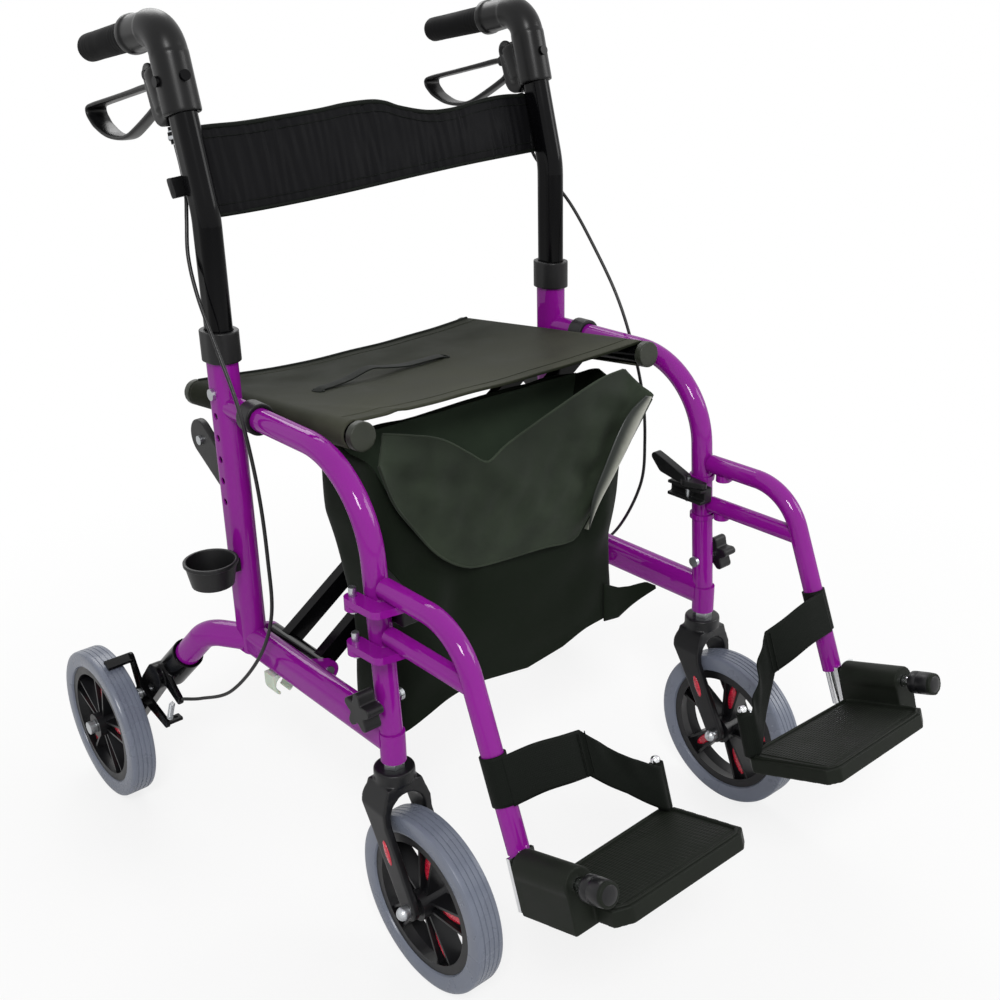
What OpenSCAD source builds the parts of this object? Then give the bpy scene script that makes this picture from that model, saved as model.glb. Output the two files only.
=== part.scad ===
// Rollator transport chair: a folding walker with a sling seat and swing-away footrests.
// It faces -Y and stands on z = 0. Its right side is -X.
// The left side is drawn, and the right side mirrors it.

/* [Wheels] */
// Outer diameter of all four wheels
wheel_d = 200; // [190:1:206]
// Width of each tyre
tyre_w = 33; // [28:1:36]
// Radial thickness of each tyre
tyre_t = 21; // [16:1:24]
// Length of each hub along its axle
hub_len = 40; // [38:1:44]
// Diameter of each hub
hub_d = 32; // [28:1:36]
// Spokes in each rim
spokes = 5; // [4:1:7]
// Width of a spoke where it meets the rim
spoke_w = 26; // [18:1:30]
// How far the wheels stand turned
spoke_turn = 28; // [0:1:71]
// Middle of the chair to the middle of a rear wheel
rear_wheel_x = 349; // [340:1:360]
// Rear axle behind the middle of the chair
rear_axle_y = 365; // [355:1:380]
// Diameter of the rear axles
rear_axle_d = 10; // [8:1:12]
// Diameter of the front axles
front_axle_d = 8; // [6:1:10]

/* [Casters] */
// Front axle ahead of the caster's stem
caster_trail = 53; // [46:1:58]
// Diameter of a caster stem
stem_d = 12; // [10:1:14]
// Diameter of the cap on a fork's crown
crown_d = 44; // [40:1:50]
// Thickness of a fork leg
fork_leg_t = 9; // [7:1:11]
// Top of the tyre to the foot of the front tube
fork_room = 50; // [46:1:60]

/* [Side frames] */
// Middle of the chair to the middle of a side frame
frame_x = 243; // [230:1:255]
// Diameter of the bent front tube
front_tube_d = 25.4; // [22:0.1:28]
// Bend radius of the front tube
front_bend_r = 105; // [90:1:120]
// Foot of the front tube ahead of the middle of the chair
front_foot = 137; // [130:1:145]
// How far the front tube leans back from foot to corner
front_lean = 20; // [10:1:26]
// Height of the front tube's corner above its foot
front_rise = 317; // [305:1:330]
// Rear upright behind the middle of the chair
upright_y = 145; // [140:1:152]
// Fore-and-aft size of the oval upright
upright_l = 40; // [36:1:44]
// Width of the oval upright
upright_w = 30; // [28:1:33]
// Wall of the oval upright
upright_wall = 1.8; // [1.2:0.1:2.5]
// Top of the upright above the lower rail
upright_len = 347; // [335:1:360]
// Height of the oval lower rail
rail_h = 40; // [34:1:44]
// Width of the oval lower rail
rail_w = 28; // [24:1:30]
// Middle of the lower rail above the foot of the front tube
rail_rise = 25; // [22:1:30]
// Diameter of the rear leg
rear_leg_d = 32; // [28:1:34]
// Bend radius of the rear leg
rear_leg_bend_r = 45; // [35:1:55]
// Rear leg's corner outside the side frame
rear_leg_out = 32; // [26:1:36]
// Rear leg's corner behind the upright
rear_leg_back = 51; // [46:1:56]
// Rear leg from its corner to its end
rear_leg_len = 85; // [75:1:95]
// Distance between height holes
hole_pitch = 25.4; // [22:0.1:28]
// Height holes below the bolt
hole_count = 5; // [3:1:6]
// Diameter of a height hole
hole_d = 8; // [6:0.5:10]

/* [Cross brace and seat] */
// Hinge rod of a cross leg inside the side frame
pivot_in = 29; // [28:1:34]
// Hinge rod below the middle of the lower rail
pivot_drop = 5; // [2:1:8]
// Diameter of the hinge tube at a leg's foot
hinge_tube_d = 25; // [22:1:26]
// Diameter of the hinge rod
hinge_rod_d = 12; // [10:1:14]
// Diameter of a seat tube
seat_tube_d = 25.4; // [22:0.1:26]
// Seat tube inside the side frame
seat_tube_in = 36; // [34:1:40]
// Top of the brace bars below the front tube
seat_drop = 7; // [4:1:10]
// Slope of the seat tubes down to the rear
seat_slope = 5.7; // [3:0.1:7]
// Front end of the seat tubes, ahead of the middle of the chair
seat_front = 57; // [50:1:64]
// Rear end of the seat tubes, behind the middle of the chair
seat_rear = 282; // [270:1:290]
// Size of a brace bar along the chair
bar_l = 14; // [12:1:16]
// Size of a brace bar across its length
bar_w = 22; // [18:1:24]
// Gap between crossing bars
bar_gap = 2; // [1:0.5:3]
// First brace bar behind the middle of the chair
brace_y = 46; // [44:1:50]
// Distance between the two bars of a leg
bar_pitch = 70; // [66:1:76]
// Diameter of the centre pivot bolts
cross_bolt_d = 8; // [6:1:10]
// Thickness of the seat and bag cloth
cloth_t = 2.5; // [1.5:0.5:4]

/* [Handles] */
// Straight part of the push tube above the collar
push_straight = 123; // [115:1:135]
// Push tube from its corner to its top
push_upper = 150; // [140:1:160]
// Push tube inside the upright
push_inside = 115; // [100:1:125]
// Backward tilt of the push tube's upper part
push_tilt = 15; // [10:1:18]
// Bend radius of the push tube
push_bend_r = 100; // [80:1:120]
// Height of the collar above the upright
collar_rise = 30; // [24:1:36]
// Wall of the collar
collar_wall = 4; // [3:0.5:5]
// Diameter of the handle's elbow
elbow_d = 40; // [38:1:44]
// Diameter of a hand grip
grip_d = 31; // [28:1:34]
// Length of a hand grip
grip_len = 118; // [105:1:125]
// Slope of a hand grip below level
grip_drop = 8; // [4:1:10]
// Width of the brake lever's loop
lever_w = 26; // [22:1:28]
// Width of the lever's loop at its pivot end
lever_root_w = 12; // [10:1:16]
// Thickness of the brake lever's band
lever_t = 6; // [5:0.5:7]

/* [Rear brakes] */
// Thickness of the brake arm
brake_arm_t = 4; // [3:0.5:5]
// Gap between the released brake bar and the tyre
brake_gap = 3; // [2:0.5:5]
// Wall of the wheel bracket's socket
socket_wall = 4; // [3:0.5:6]
// Thickness of the wheel bracket's plate
bracket_t = 14; // [12:1:16]

/* [Footrests] */
// Diameter of the hanger tube
hanger_d = 22; // [20:1:24]
// Bend radius of the hanger tube
hanger_bend_r = 67; // [55:1:75]
// Hanger's corner ahead of the middle of the chair
hanger_corner = 254; // [246:1:262]
// Upper hanger arm above the foot of the front tube
hanger_rise = 197; // [190:1:205]
// Lower hanger strut above the foot of the front tube
strut_rise = 145; // [138:1:152]
// Slant of the hanger's leg
hanger_lean = 21.5; // [18:0.5:25]
// Height of the hanger's end above the foot of the front tube
hanger_end_drop = 4; // [0:1:10]
// Diameter of the hanger pins
pin_d = 8; // [6:1:10]
// Hanger pin outside the side frame
pin_out = 23; // [22:1:27]
// Diameter of the footplate's hinge rod
flip_rod_d = 12; // [10:1:14]
// Upward pitch of the footplate
plate_pitch = 18; // [12:1:22]
// Depth of the footplate
plate_l = 108; // [98:1:112]
// Width of the footplate from its hinge rod
plate_w = 190; // [170:1:194]
// Thickness of the footplate
plate_t = 16; // [12:1:18]
// Length of the footplate's hinge block
block_l = 75; // [65:1:80]
// Height of the heel strap
strap_h = 48; // [40:1:55]

/* [Fits] */
// Running clearance round pins and axles
run_gap = 0.05; // [0.02:0.01:0.1]
// Clearance round pieces that are fixed together
seat_gap = 0.1; // [0.05:0.05:0.2]
// Clearance between pieces that pass each other
pass_gap = 0.5; // [0.3:0.1:1]

/* [Hidden] */
$fn = 48;
// Straight pieces run this far into a bend, which is this much slimmer
lap = 1;
shy = 0.06;
HALF_NODES = ["side_frame", "upright_collar", "frame_fittings", "wheel_bracket", "frame_hardware",
    "brake_cable", "storage_clip", "push_tube", "handle_housing", "hand_grip", "handle_hardware",
    "brake_lever", "brake_arm", "rear_tyre", "rear_rim", "caster_fork", "caster_hardware", "front_tyre",
    "front_rim", "hanger", "footrest_leg", "latch_lever", "footplate", "heel_strap", "star_knob"];

PAINT = "#8A278B";
BLACK = "#26282B";
STEEL = "#C9CCD1";
TYRE = "#84848E";
CLOTH = "#1F2421";

// Wheels and casters
wheel_r = wheel_d / 2;
rim_r = wheel_r - tyre_t;
foot_y = -front_foot;
foot_z = wheel_d + fork_room;
caster_y = foot_y - caster_trail;
fork_in = hub_len / 2 + 2;
fork_out = fork_in + fork_leg_t;
crown_top = foot_z - 10;
crown_t = 14;

// Side frame
rail_z = foot_z + rail_rise;
front_top = [frame_x, foot_y + front_lean, foot_z + front_rise];
upright_top = rail_z + upright_len;
upright_foot = rail_z - rail_h / 2 + 7;
push_l = upright_l - 2 * upright_wall - 0.6;
push_w = upright_w - 2 * upright_wall - 0.6;
push_travel = 100;
cavity_z = upright_top - push_inside - push_travel - 15;
bolt_z = upright_top - 40;
boss_x1 = rear_wheel_x - hub_len / 2 - 1;
boss_x0 = boss_x1 - bracket_t - brake_arm_t - 8;
plate_x = boss_x0 + 2;
axle = [boss_x0 + bracket_t / 2, rear_axle_y, wheel_r];
leg_corner = [frame_x + rear_leg_out, upright_y + rear_leg_back, rail_z];
leg_dir = unit(axle - leg_corner);
leg_end = leg_corner + leg_dir * rear_leg_len;
socket_r = rear_leg_d / 2 + socket_wall;
socket_end = max(rear_leg_len + 34, (plate_x + 5 - socket_r - leg_corner.x) / leg_dir.x);

// Cross brace and seat
pivot_x = frame_x - pivot_in;
pivot_z = rail_z - pivot_drop;
seat_x = frame_x - seat_tube_in;
seat_z = front_top.z - seat_drop;
seat_mid = brace_y + (bar_pitch + bar_l + bar_gap) / 2;
seat_ahead = seat_mid + seat_front;
seat_behind = seat_rear - seat_mid;
hinge_y0 = brace_y - bar_l / 2 - 6;
hinge_y1 = brace_y + bar_pitch + bar_gap + 1.5 * bar_l + 6;
ear_t = 8;
centre_z = pivot_z + (seat_z - pivot_z) * pivot_x / (pivot_x + seat_x);
sling_r = seat_tube_d / 2 + 0.3 + cloth_t;
seat_proud = 0.4;
cap_t = 10;
saddle_y = 84;
saddle_w = 22;
moon_t = 8;
moon = [upright_y + upright_l / 2, rail_z + 222];

// Handles, in a frame that starts at the push tube's corner and follows its upper part
collar_top = upright_top + collar_rise;
corner_z = collar_top + push_straight;
tube_dir = [0, sin(push_tilt), cos(push_tilt)];
grip_dir = [0, cos(grip_drop), -sin(grip_drop)];
push_corner = [frame_x, upright_y, corner_z];
socket_s = 100;
elbow_corner = push_corner + tube_dir * 188;
elbow_r = 32;
neck_len = 72;
ring_len = 10;
spigot_d = 22;
lever_pin_d = 6;
lever_pin = [34, 148];
lever_loop = [[54, 141], [208, 152], [200, 131], [172, 113], [133, 103], [56, 116]];
tongue_w = 14;
adjuster_s = 76.7;
adjuster_y = 32;

// Rear brake
brake_pin_d = 8;
brake_pin = along_leg(169);
brake_x = plate_x + bracket_t + 0.4;
brake_r = wheel_r + brake_gap + brake_arm_t / 2;
brake_bar_angle = 109;
brake_bar = [rear_axle_y + brake_r * cos(brake_bar_angle), wheel_r + brake_r * sin(brake_bar_angle)];
brake_tail = [brake_pin.x - 62, brake_pin.y - 15];
anchor = [brake_pin.x - 80, brake_pin.y + 22];

// Footrest
pin = [frame_x + pin_out, foot_y + 20];
upper_lug_z = foot_z + hanger_rise - 17;
lower_lug_z = foot_z + strut_rise - 15;
lug_t = 6;
latch = [frame_x - 26, front_y(upper_lug_z) - 1];
latch_pin_d = 5;
lug_r = 9;
arm_z = foot_z + hanger_rise;
strut_z = foot_z + strut_rise;
hanger_end = [frame_x, -hanger_corner - (hanger_rise + hanger_end_drop) * tan(hanger_lean),
    foot_z - hanger_end_drop];
hanger_dir = [0, -sin(hanger_lean), -cos(hanger_lean)];
leg_rod_d = 17;
leg_rod_out = 40;
flip_x = frame_x + 7;
flip_point = hanger_end + [flip_x - frame_x, -16, -3];
flip_back = 5;
block_r = 16;
block_drop = 43;
block_w = 30;
plate_top = -25;
tip_d = 24;
post = [8 - plate_w, 1];
post_d = 10;
post_h = 52;
knob_z = rail_z + 43;
knob_x = frame_x + front_tube_d / 2 + 6;
knob_r = 22;
knob_t = 20;
stud_d = 8;

// Backrest, cup holder and bag
back_w = 2 * (frame_x + push_w / 2) + 12.2;
back_h = 84;
back_t = 5;
back_gap = 0.3;
cup_r = 30;
cup_h = 30;
cup_wall = 2.5;
cup_z = rail_z + 93;
cup_at = [frame_x + upright_w / 2 + cup_r + 3, upright_y - 13];
bag_top = seat_z - 15;
bag_front = -78;
bag_rear = brace_y - bar_l / 2 - 6;
bag_w = 2 * seat_x - 38;
bag_deep = 335;
bag_outline = [[-bag_w / 2, bag_top], [bag_w / 2, bag_top], [bag_w / 2 - 10, bag_top - bag_deep + 60],
    [-bag_w / 6, bag_top - bag_deep + 20], [10 - bag_w / 2, bag_top - bag_deep]];

// Brake cables, from the lever's adjuster to the anchor on the wheel bracket
cable_d = 5;
right_route = [[243, 195.5, 840], [243, 188, 815], [245, 181, 790], [250, 176, 765], [260, 162, 730],
    [265, 140, 690], [266, 108, 640], [266, 74, 580], [266, 52, 500], [266, 46, 420], [267, 49, 350],
    [272, 80, 285], [284, 135, 222], [296, 190, 192], [306, 225, 179]];
left_route = [[243, 195.5, 840], [243, 188, 815], [246, 181, 785], [258, 165, 758], [265, 129, 722],
    [267, 90, 675], [268, 50, 620], [268, 22, 565], [268, 0, 500], [268, -7, 435], [269, 0, 370],
    [273, 45, 290], [284, 115, 230], [296, 185, 193], [306, 225, 179]];

function seat_at(y) = seat_z - (y - seat_mid) * tan(seat_slope);
function unit(v) = v / norm(v);
function front_y(z) = foot_y + (z - foot_z) * front_lean / front_rise;
// Point of the rear leg's line, in the side plane, at a distance from its corner
function along_leg(s) = let (p = leg_corner + leg_dir * s) [p.y, p.z];
// Smooth curve through a cord's points
function spline(a, b, c, d, t) = 0.5 * (2 * b + (c - a) * t + (2 * a - 5 * b + 4 * c - d) * t * t
    + (3 * b - a - 3 * c + d) * t * t * t);
function smooth(p, n) = let (last = len(p) - 1) [for (i = [0:last - 1], k = [0:n - 1])
    spline(p[max(i - 1, 0)], p[i], p[i + 1], p[min(i + 2, last)], k / n), p[last]];

// Turns +Z to point from p to q
module along(p, q) {
    d = q - p;
    translate(p) rotate([0, acos(d.z / norm(d)), atan2(d.y, d.x)]) children();
}

module rod(p, q, d) {
    along(p, q) cylinder(h = norm(q - p), d = d);
}

// Bend of a profile from direction a to direction b round a corner
module bend(corner, a, b, r) {
    turn = acos(a * b);
    c = corner + unit(b - a) * r / cos(turn / 2);
    x = unit(corner - a * r * tan(turn / 2) - c);
    z = cross(x, a);
    multmatrix([[x.x, a.x, z.x, c.x], [x.y, a.y, z.y, c.y], [x.z, a.z, z.z, c.z], [0, 0, 0, 1]])
        rotate_extrude(angle = turn) translate([r, 0]) children();
}

// Round rod with one bend
module bent_rod(p, corner, q, r, d) {
    a = unit(corner - p);
    b = unit(q - corner);
    cut = r * tan(acos(a * b) / 2) - lap;
    rod(p, corner - a * cut, d);
    bend(corner, a, b, r) circle(d = d - shy);
    rod(corner + b * cut, q, d);
}

// Oval with flat sides, long along its first axis
module oval(l, w) {
    square([l - w, w], center = true);
    for (s = [-1, 1]) translate([s * (l - w) / 2, 0]) circle(d = w);
}

// Tapered bar between two round ends
module taper(c1, r1, c2, r2) {
    d = c2 - c1;
    a = atan2(d.y, d.x);
    b = acos((r1 - r2) / norm(d));
    inset = 0.998;
    translate(c1) circle(r1);
    translate(c2) circle(r2);
    polygon([for (e = [[c1, r1, b], [c1, r1, -b], [c2, r2, -b], [c2, r2, b]])
        e[0] + inset * e[1] * [cos(a + e[2]), sin(a + e[2])]]);
}

// Outlines drawn in the side plane, thick along X
module in_side(x, t) {
    translate([x, 0, 0]) rotate([90, 0, 90]) linear_extrude(t) children();
}

// Outlines drawn in the front plane, thick along Y
module in_front(y, t) {
    translate([0, y + t, 0]) rotate([90, 0, 0]) linear_extrude(t) children();
}

module across(x, t, at, d) {
    translate([x, at.x, at.y]) rotate([0, 90, 0]) cylinder(h = t, d = d);
}

// The push tube's upper frame: local Y is rearward, local Z runs up the tube
module on_handle() {
    translate(push_corner) rotate([-push_tilt, 0, 0]) children();
}

// The seat's frame: local Y follows the seat tubes
module on_seat() {
    translate([0, seat_mid, seat_z]) rotate([-seat_slope, 0, 0]) children();
}

// The footplate's frame: local Y is forward along the hinge rod, local Z is up from the plate
module on_footplate() {
    translate(flip_point) rotate([-plate_pitch, 0, 0]) mirror([0, 1, 0]) children();
}

// Flat strap from p to q
module strip(p, q, h, t) {
    d = q - p;
    translate(p) rotate([0, 0, atan2(d.y, d.x)]) rotate([0, -asin(d.z / norm(d)), 0])
        translate([0, -t / 2, -h / 2]) cube([norm(d), t, h]);
}

// Cord of eight sides along a route
module cord(route, d) {
    p = smooth(route, 3);
    n = len(p);
    sides = 8;
    rings = [for (i = [0:n - 1]) let (t = unit(p[min(i + 1, n - 1)] - p[max(i - 1, 0)]),
        u = unit(cross(t, [1, 0.2, 0])), v = cross(t, u), k = 360 / sides)
        [for (j = [0:sides - 1]) p[i] + d / 2 * (cos(j * k) * u + sin(j * k) * v)]];
    polyhedron([for (r = rings, q = r) q], concat(
        [[for (j = [0:sides - 1]) j], [for (j = [0:sides - 1]) n * sides - 1 - j]],
        [for (i = [0:n - 2], j = [0:sides - 1]) let (k = (j + 1) % sides)
            [i * sides + j, (i + 1) * sides + j, (i + 1) * sides + k, i * sides + k]]));
}

// Welded side frame
module side_frame() color(PAINT) difference() {
    union() {
        translate([frame_x, upright_y, upright_foot])
            linear_extrude(upright_top - upright_foot) rotate(90) oval(upright_l, upright_w);
        translate([frame_x, upright_y, rail_z]) rotate([90, 0, 0])
            linear_extrude(upright_y - front_y(rail_z) - 2) rotate(90) oval(rail_h, rail_w);
        bent_rod([frame_x, upright_y, rail_z], leg_corner, leg_end, rear_leg_bend_r, rear_leg_d);
        bent_rod([frame_x, upright_y, front_top.z], front_top, [frame_x, foot_y, foot_z],
            front_bend_r, front_tube_d);
        translate([frame_x, foot_y, foot_z - 2]) cylinder(h = 34, d = front_tube_d + 2);
        for (z = [upper_lug_z, lower_lug_z]) translate([0, 0, z - lug_t]) linear_extrude(lug_t)
            taper([frame_x, front_y(z)], front_tube_d / 2 + 2.5, pin, lug_r);
        for (y = [hinge_y0 - ear_t - 0.3, hinge_y1 + 0.3]) in_front(y, ear_t)
            taper([frame_x - 4, rail_z], rail_w / 2 + 2, [pivot_x, pivot_z], hinge_tube_d / 2);
    }
    translate([frame_x, upright_y, cavity_z]) linear_extrude(upright_top) rotate(90)
        oval(upright_l - 2 * upright_wall, upright_w - 2 * upright_wall);
    for (i = [0:hole_count]) across(frame_x, upright_w, [upright_y, bolt_z - i * hole_pitch], hole_d);
    translate([frame_x, foot_y, foot_z - 3]) cylinder(h = 43, d = stem_d + 2 * run_gap);
    translate([pin.x, pin.y, 0]) cylinder(h = upright_top, d = pin_d + 2 * seat_gap);
    translate([pivot_x, 0, pivot_z]) rotate([-90, 0, 0])
        cylinder(h = upright_y + upright_l, d = hinge_rod_d + 2 * seat_gap);
    across(frame_x - 30, 60, [front_y(knob_z), knob_z], stud_d + 2 * seat_gap);
}

// Plastic collar that guides the push tube
module upright_collar() color(BLACK) {
    l = upright_l + 2 * collar_wall;
    w = upright_w + 2 * collar_wall;
    difference() {
        translate([frame_x, upright_y, upright_top - 4]) linear_extrude(collar_rise + 4)
            rotate(90) oval(l, w);
        translate([frame_x, upright_y, upright_top - 5]) linear_extrude(5 + seat_gap)
            rotate(90) oval(upright_l + 2 * seat_gap, upright_w + 2 * seat_gap);
        translate([frame_x, upright_y, upright_top - 5]) linear_extrude(collar_rise + 10)
            rotate(90) oval(push_l + 0.6, push_w + 0.6);
    }
}

// Front saddle, rear half-moon plate and latch channel
module frame_fittings() color(BLACK) {
    rest_z = seat_at(saddle_y);
    in_front(saddle_y - saddle_w / 2, saddle_w) difference() {
        union() {
            translate([frame_x, front_top.z]) circle(front_tube_d / 2 + 5);
            intersection() {
                taper([seat_x, rest_z], sling_r + 6, [frame_x, front_top.z], front_tube_d / 2);
                translate([seat_x - 40, rest_z - 80]) square([120, 80]);
            }
        }
        translate([frame_x, front_top.z]) circle(front_tube_d / 2 + seat_gap);
        translate([seat_x, rest_z]) circle(sling_r + pass_gap + 1.5);
    }
    in_side(frame_x - moon_t / 2, moon_t) intersection() {
        taper(moon + [48, 14], 22, moon + [4, -16], 20);
        translate([moon.x + seat_gap, moon.y - 50]) square(100);
    }
    z = upper_lug_z - lug_t - 20;
    difference() {
        translate([latch.x - 5, latch.y - 25, z]) cube([20, 54, 19]);
        translate([latch.x - 6, latch.y - 30, z + 4]) cube([8, 70, 11]);
        rod([frame_x, foot_y, foot_z], [frame_x, front_top.y, front_top.z], front_tube_d + 2 * seat_gap);
        translate([latch.x, latch.y, z - 1]) cylinder(h = 30, d = latch_pin_d + 2 * run_gap);
    }
}

// Socket on the rear leg, with the plate that carries the axle, the brake and the cable
module wheel_bracket() color(BLACK) difference() {
    union() {
        rod(leg_corner + leg_dir * (rear_leg_len - 22), leg_corner + leg_dir * socket_end, 2 * socket_r);
        in_side(plate_x, bracket_t) taper(along_leg(rear_leg_len + 30), 17, [axle.y, axle.z], 15);
        across(boss_x0, boss_x1 - boss_x0, [axle.y, axle.z], 28);
        in_side(plate_x, 6) taper(along_leg(rear_leg_len + 22), 12, anchor, 7);
    }
    rod(leg_corner, leg_end, rear_leg_d + 2 * seat_gap);
    across(boss_x0 - 1, bracket_t + 60, [axle.y, axle.z], rear_axle_d + 2 * seat_gap);
    across(boss_x0 - 30, bracket_t + 60, brake_pin, brake_pin_d + 2 * seat_gap);
    in_side(plate_x + bracket_t, 40) taper(along_leg(rear_leg_len + 62), 19, brake_pin, 30);
}

// Rear axle, brake bolt, hanger pins, hinge rod, height bolt, cross stud and half-moon bolt
module frame_hardware() color(STEEL) {
    across(boss_x0 - 6, rear_wheel_x + hub_len / 2 + 6 - boss_x0, [axle.y, axle.z], rear_axle_d);
    across(boss_x0 - 6, 5.8, [axle.y, axle.z], 18);
    across(rear_wheel_x + hub_len / 2 + 0.4, 9, [axle.y, axle.z], 17);
    across(plate_x - 5, bracket_t + 10 + brake_arm_t, brake_pin, brake_pin_d);
    across(brake_x + brake_arm_t + 0.2, 4, brake_pin, 13);
    for (z = [upper_lug_z, lower_lug_z]) translate([pin.x, pin.y, z - lug_t - 4])
        cylinder(h = lug_t + 22, d = pin_d);
    translate([pivot_x, hinge_y0 - ear_t - 2, pivot_z]) rotate([-90, 0, 0])
        cylinder(h = hinge_y1 - hinge_y0 + 2 * ear_t + 4, d = hinge_rod_d);
    across(frame_x + upright_w / 2 - upright_wall, upright_wall + 1, [upright_y, bolt_z], hole_d - 0.4);
    across(frame_x + upright_w / 2 + seat_gap, 4, [upright_y, bolt_z], 13);
    stud_in = frame_x - front_tube_d / 2 - 4;
    stud_out = knob_x + knob_t - 4;
    across(stud_in, stud_out - stud_in, [front_y(knob_z), knob_z], stud_d);
    across(stud_in - 1, 4.5, [front_y(knob_z), knob_z], 13);
    across(frame_x + moon_t / 2 + seat_gap, 3, moon + [46, 12], 11);
    translate([latch.x, latch.y, upper_lug_z - lug_t - 22]) cylinder(h = 30, d = latch_pin_d);
}

module brake_cable(route) color(BLACK) cord(route, cable_d);

// Snap clip that holds the frame shut when it is folded
module storage_clip() color("#C9D8C4") {
    r = 14;
    in_front(upright_y - 66, 20) translate([frame_x, rail_z - rail_h / 2 - r - 0.1]) difference() {
        union() {
            circle(r);
            translate([-r, 0]) square([2 * r, r]);
        }
        circle(r - 3.5);
        polygon([[0, 0], [r, -2 * r], [-r, -2 * r]]);
    }
}

module push_tube() color(BLACK) {
    cut = push_bend_r * tan(push_tilt / 2) - lap;
    z0 = upright_top - push_inside;
    translate([frame_x, upright_y, z0]) linear_extrude(corner_z - cut - z0) rotate(90) oval(push_l, push_w);
    bend(push_corner, [0, 0, 1], tube_dir, push_bend_r) oval(push_l - shy, push_w - shy);
    on_handle() translate([0, 0, cut]) linear_extrude(push_upper - cut) rotate(90) oval(push_l, push_w);
}

// Moulded elbow with the lever's clevis under the grip
module handle_housing() color(BLACK) difference() {
    cut = elbow_r * tan(acos(tube_dir * grip_dir) / 2) - lap;
    union() {
        on_handle() translate([0, 0, socket_s]) linear_extrude(188 - cut - socket_s) rotate(90)
            oval(push_l + 7, elbow_d - 1);
        bend(elbow_corner, tube_dir, grip_dir, elbow_r) circle(d = elbow_d);
        rod(elbow_corner + grip_dir * cut, elbow_corner + grip_dir * neck_len, elbow_d - 2);
        rod(elbow_corner + grip_dir * (neck_len - ring_len), elbow_corner + grip_dir * neck_len,
            elbow_d + 2);
        rod(elbow_corner + grip_dir * cut, elbow_corner + grip_dir * (neck_len + grip_len - 8), spigot_d);
        on_handle() in_side(-13, 26) taper([26, socket_s + 12], 18, lever_pin, 12);
    }
    on_handle() translate([0, 0, -push_upper]) linear_extrude(2 * push_upper + seat_gap) rotate(90)
        oval(push_l + 2 * seat_gap, push_w + 2 * seat_gap);
    on_handle() translate([-tongue_w / 2 - 0.3, lever_pin.x - 11, lever_pin.y - 22])
        cube([tongue_w + 0.6, 60, 50]);
    on_handle() across(-30, 60, lever_pin, lever_pin_d + 2 * seat_gap);
}

module hand_grip() color(BLACK) difference() {
    along(elbow_corner + grip_dir * (neck_len + 0.1), elbow_corner + grip_dir * (neck_len + grip_len)) {
        cylinder(h = grip_len, d = grip_d);
        for (i = [0:3]) translate([0, 0, 4 + i * 7]) cylinder(h = 3.5, d = grip_d + 2);
        translate([0, 0, grip_len - 6]) cylinder(h = 6, d = grip_d + 3);
    }
    rod(elbow_corner, elbow_corner + grip_dir * (neck_len + grip_len - 7.8), spigot_d + 2 * seat_gap);
}

// Lever pin, housing screws and barrel adjuster
module handle_hardware() color(STEEL) on_handle() {
    across(-13, 26, lever_pin, lever_pin_d);
    for (s = [-1, 1]) across(s * 14.6 - 1.5, 3, lever_pin, 10);
    across(elbow_d / 2 - 0.4, 3.5, [0, socket_s + 34], 11);
    translate([0, -push_l / 2 - 3.6, socket_s + 34]) rotate([90, 0, 0]) cylinder(h = 4, d = 11);
    translate([0, adjuster_y, adjuster_s]) cylinder(h = socket_s - 6 - adjuster_s, d = 8);
    translate([0, adjuster_y, adjuster_s + 4]) cylinder(h = 8, d = 12, $fn = 6);
}

// Open loop lever
module brake_lever() color(BLACK) on_handle() {
    n = len(lever_loop);
    intersection() {
        in_side(-lever_w / 2, lever_w) for (i = [0:n - 1])
            taper(lever_loop[i], lever_t / 2, lever_loop[(i + 1) % n], lever_t / 2);
        translate([0, 0, lever_pin.y - 70]) linear_extrude(100)
            polygon([[-lever_root_w / 2, lever_pin.x], [lever_root_w / 2, lever_pin.x],
                [lever_w / 2 - 0.2, lever_loop[1].x + lever_t], [0.2 - lever_w / 2, lever_loop[1].x + lever_t]]);
    }
    difference() {
        in_side(-tongue_w / 2, tongue_w) taper(lever_pin, 9, lever_loop[0], 5);
        across(-20, 40, lever_pin, lever_pin_d + 2 * run_gap);
    }
}

// Bent strip that swings a bar onto the tyre
module brake_arm() color(BLACK) difference() {
    union() {
        in_side(brake_x, brake_arm_t) {
            taper(brake_bar, 6, brake_pin, 10);
            taper(brake_pin, 10, brake_tail, 7);
        }
        translate([brake_x, brake_bar.x, brake_bar.y]) rotate([brake_bar_angle - 90, 0, 0])
            translate([0, -7, -brake_arm_t / 2]) cube([rear_wheel_x + 6 - brake_x, 14, brake_arm_t]);
        translate([brake_x - 18, brake_tail.x - 6, brake_tail.y - 2]) cube([20, 12, 4]);
    }
    across(brake_x - 1, brake_arm_t + 2, brake_pin, brake_pin_d + 2 * run_gap);
    translate([brake_x - 11, brake_tail.x, brake_tail.y - 5]) cylinder(h = 12, d = 6);
}

// Tyre with softened shoulders and a grooved tread
module tyre(at) color(TYRE) translate(at) rotate([0, 90, 0]) {
    w = tyre_w / 2;
    shoulder = 5;
    rotate_extrude() difference() {
        polygon([[rim_r + seat_gap, -w + 3], [rim_r + 4, -w], [wheel_r - shoulder, -w], [wheel_r, -w + 7],
            [wheel_r, w - 7], [wheel_r - shoulder, w], [rim_r + 4, w], [rim_r + seat_gap, w - 3]]);
        for (y = [-5, 0, 5]) translate([wheel_r - 0.8, y - 0.6]) square([2, 1.2]);
    }
}

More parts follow.
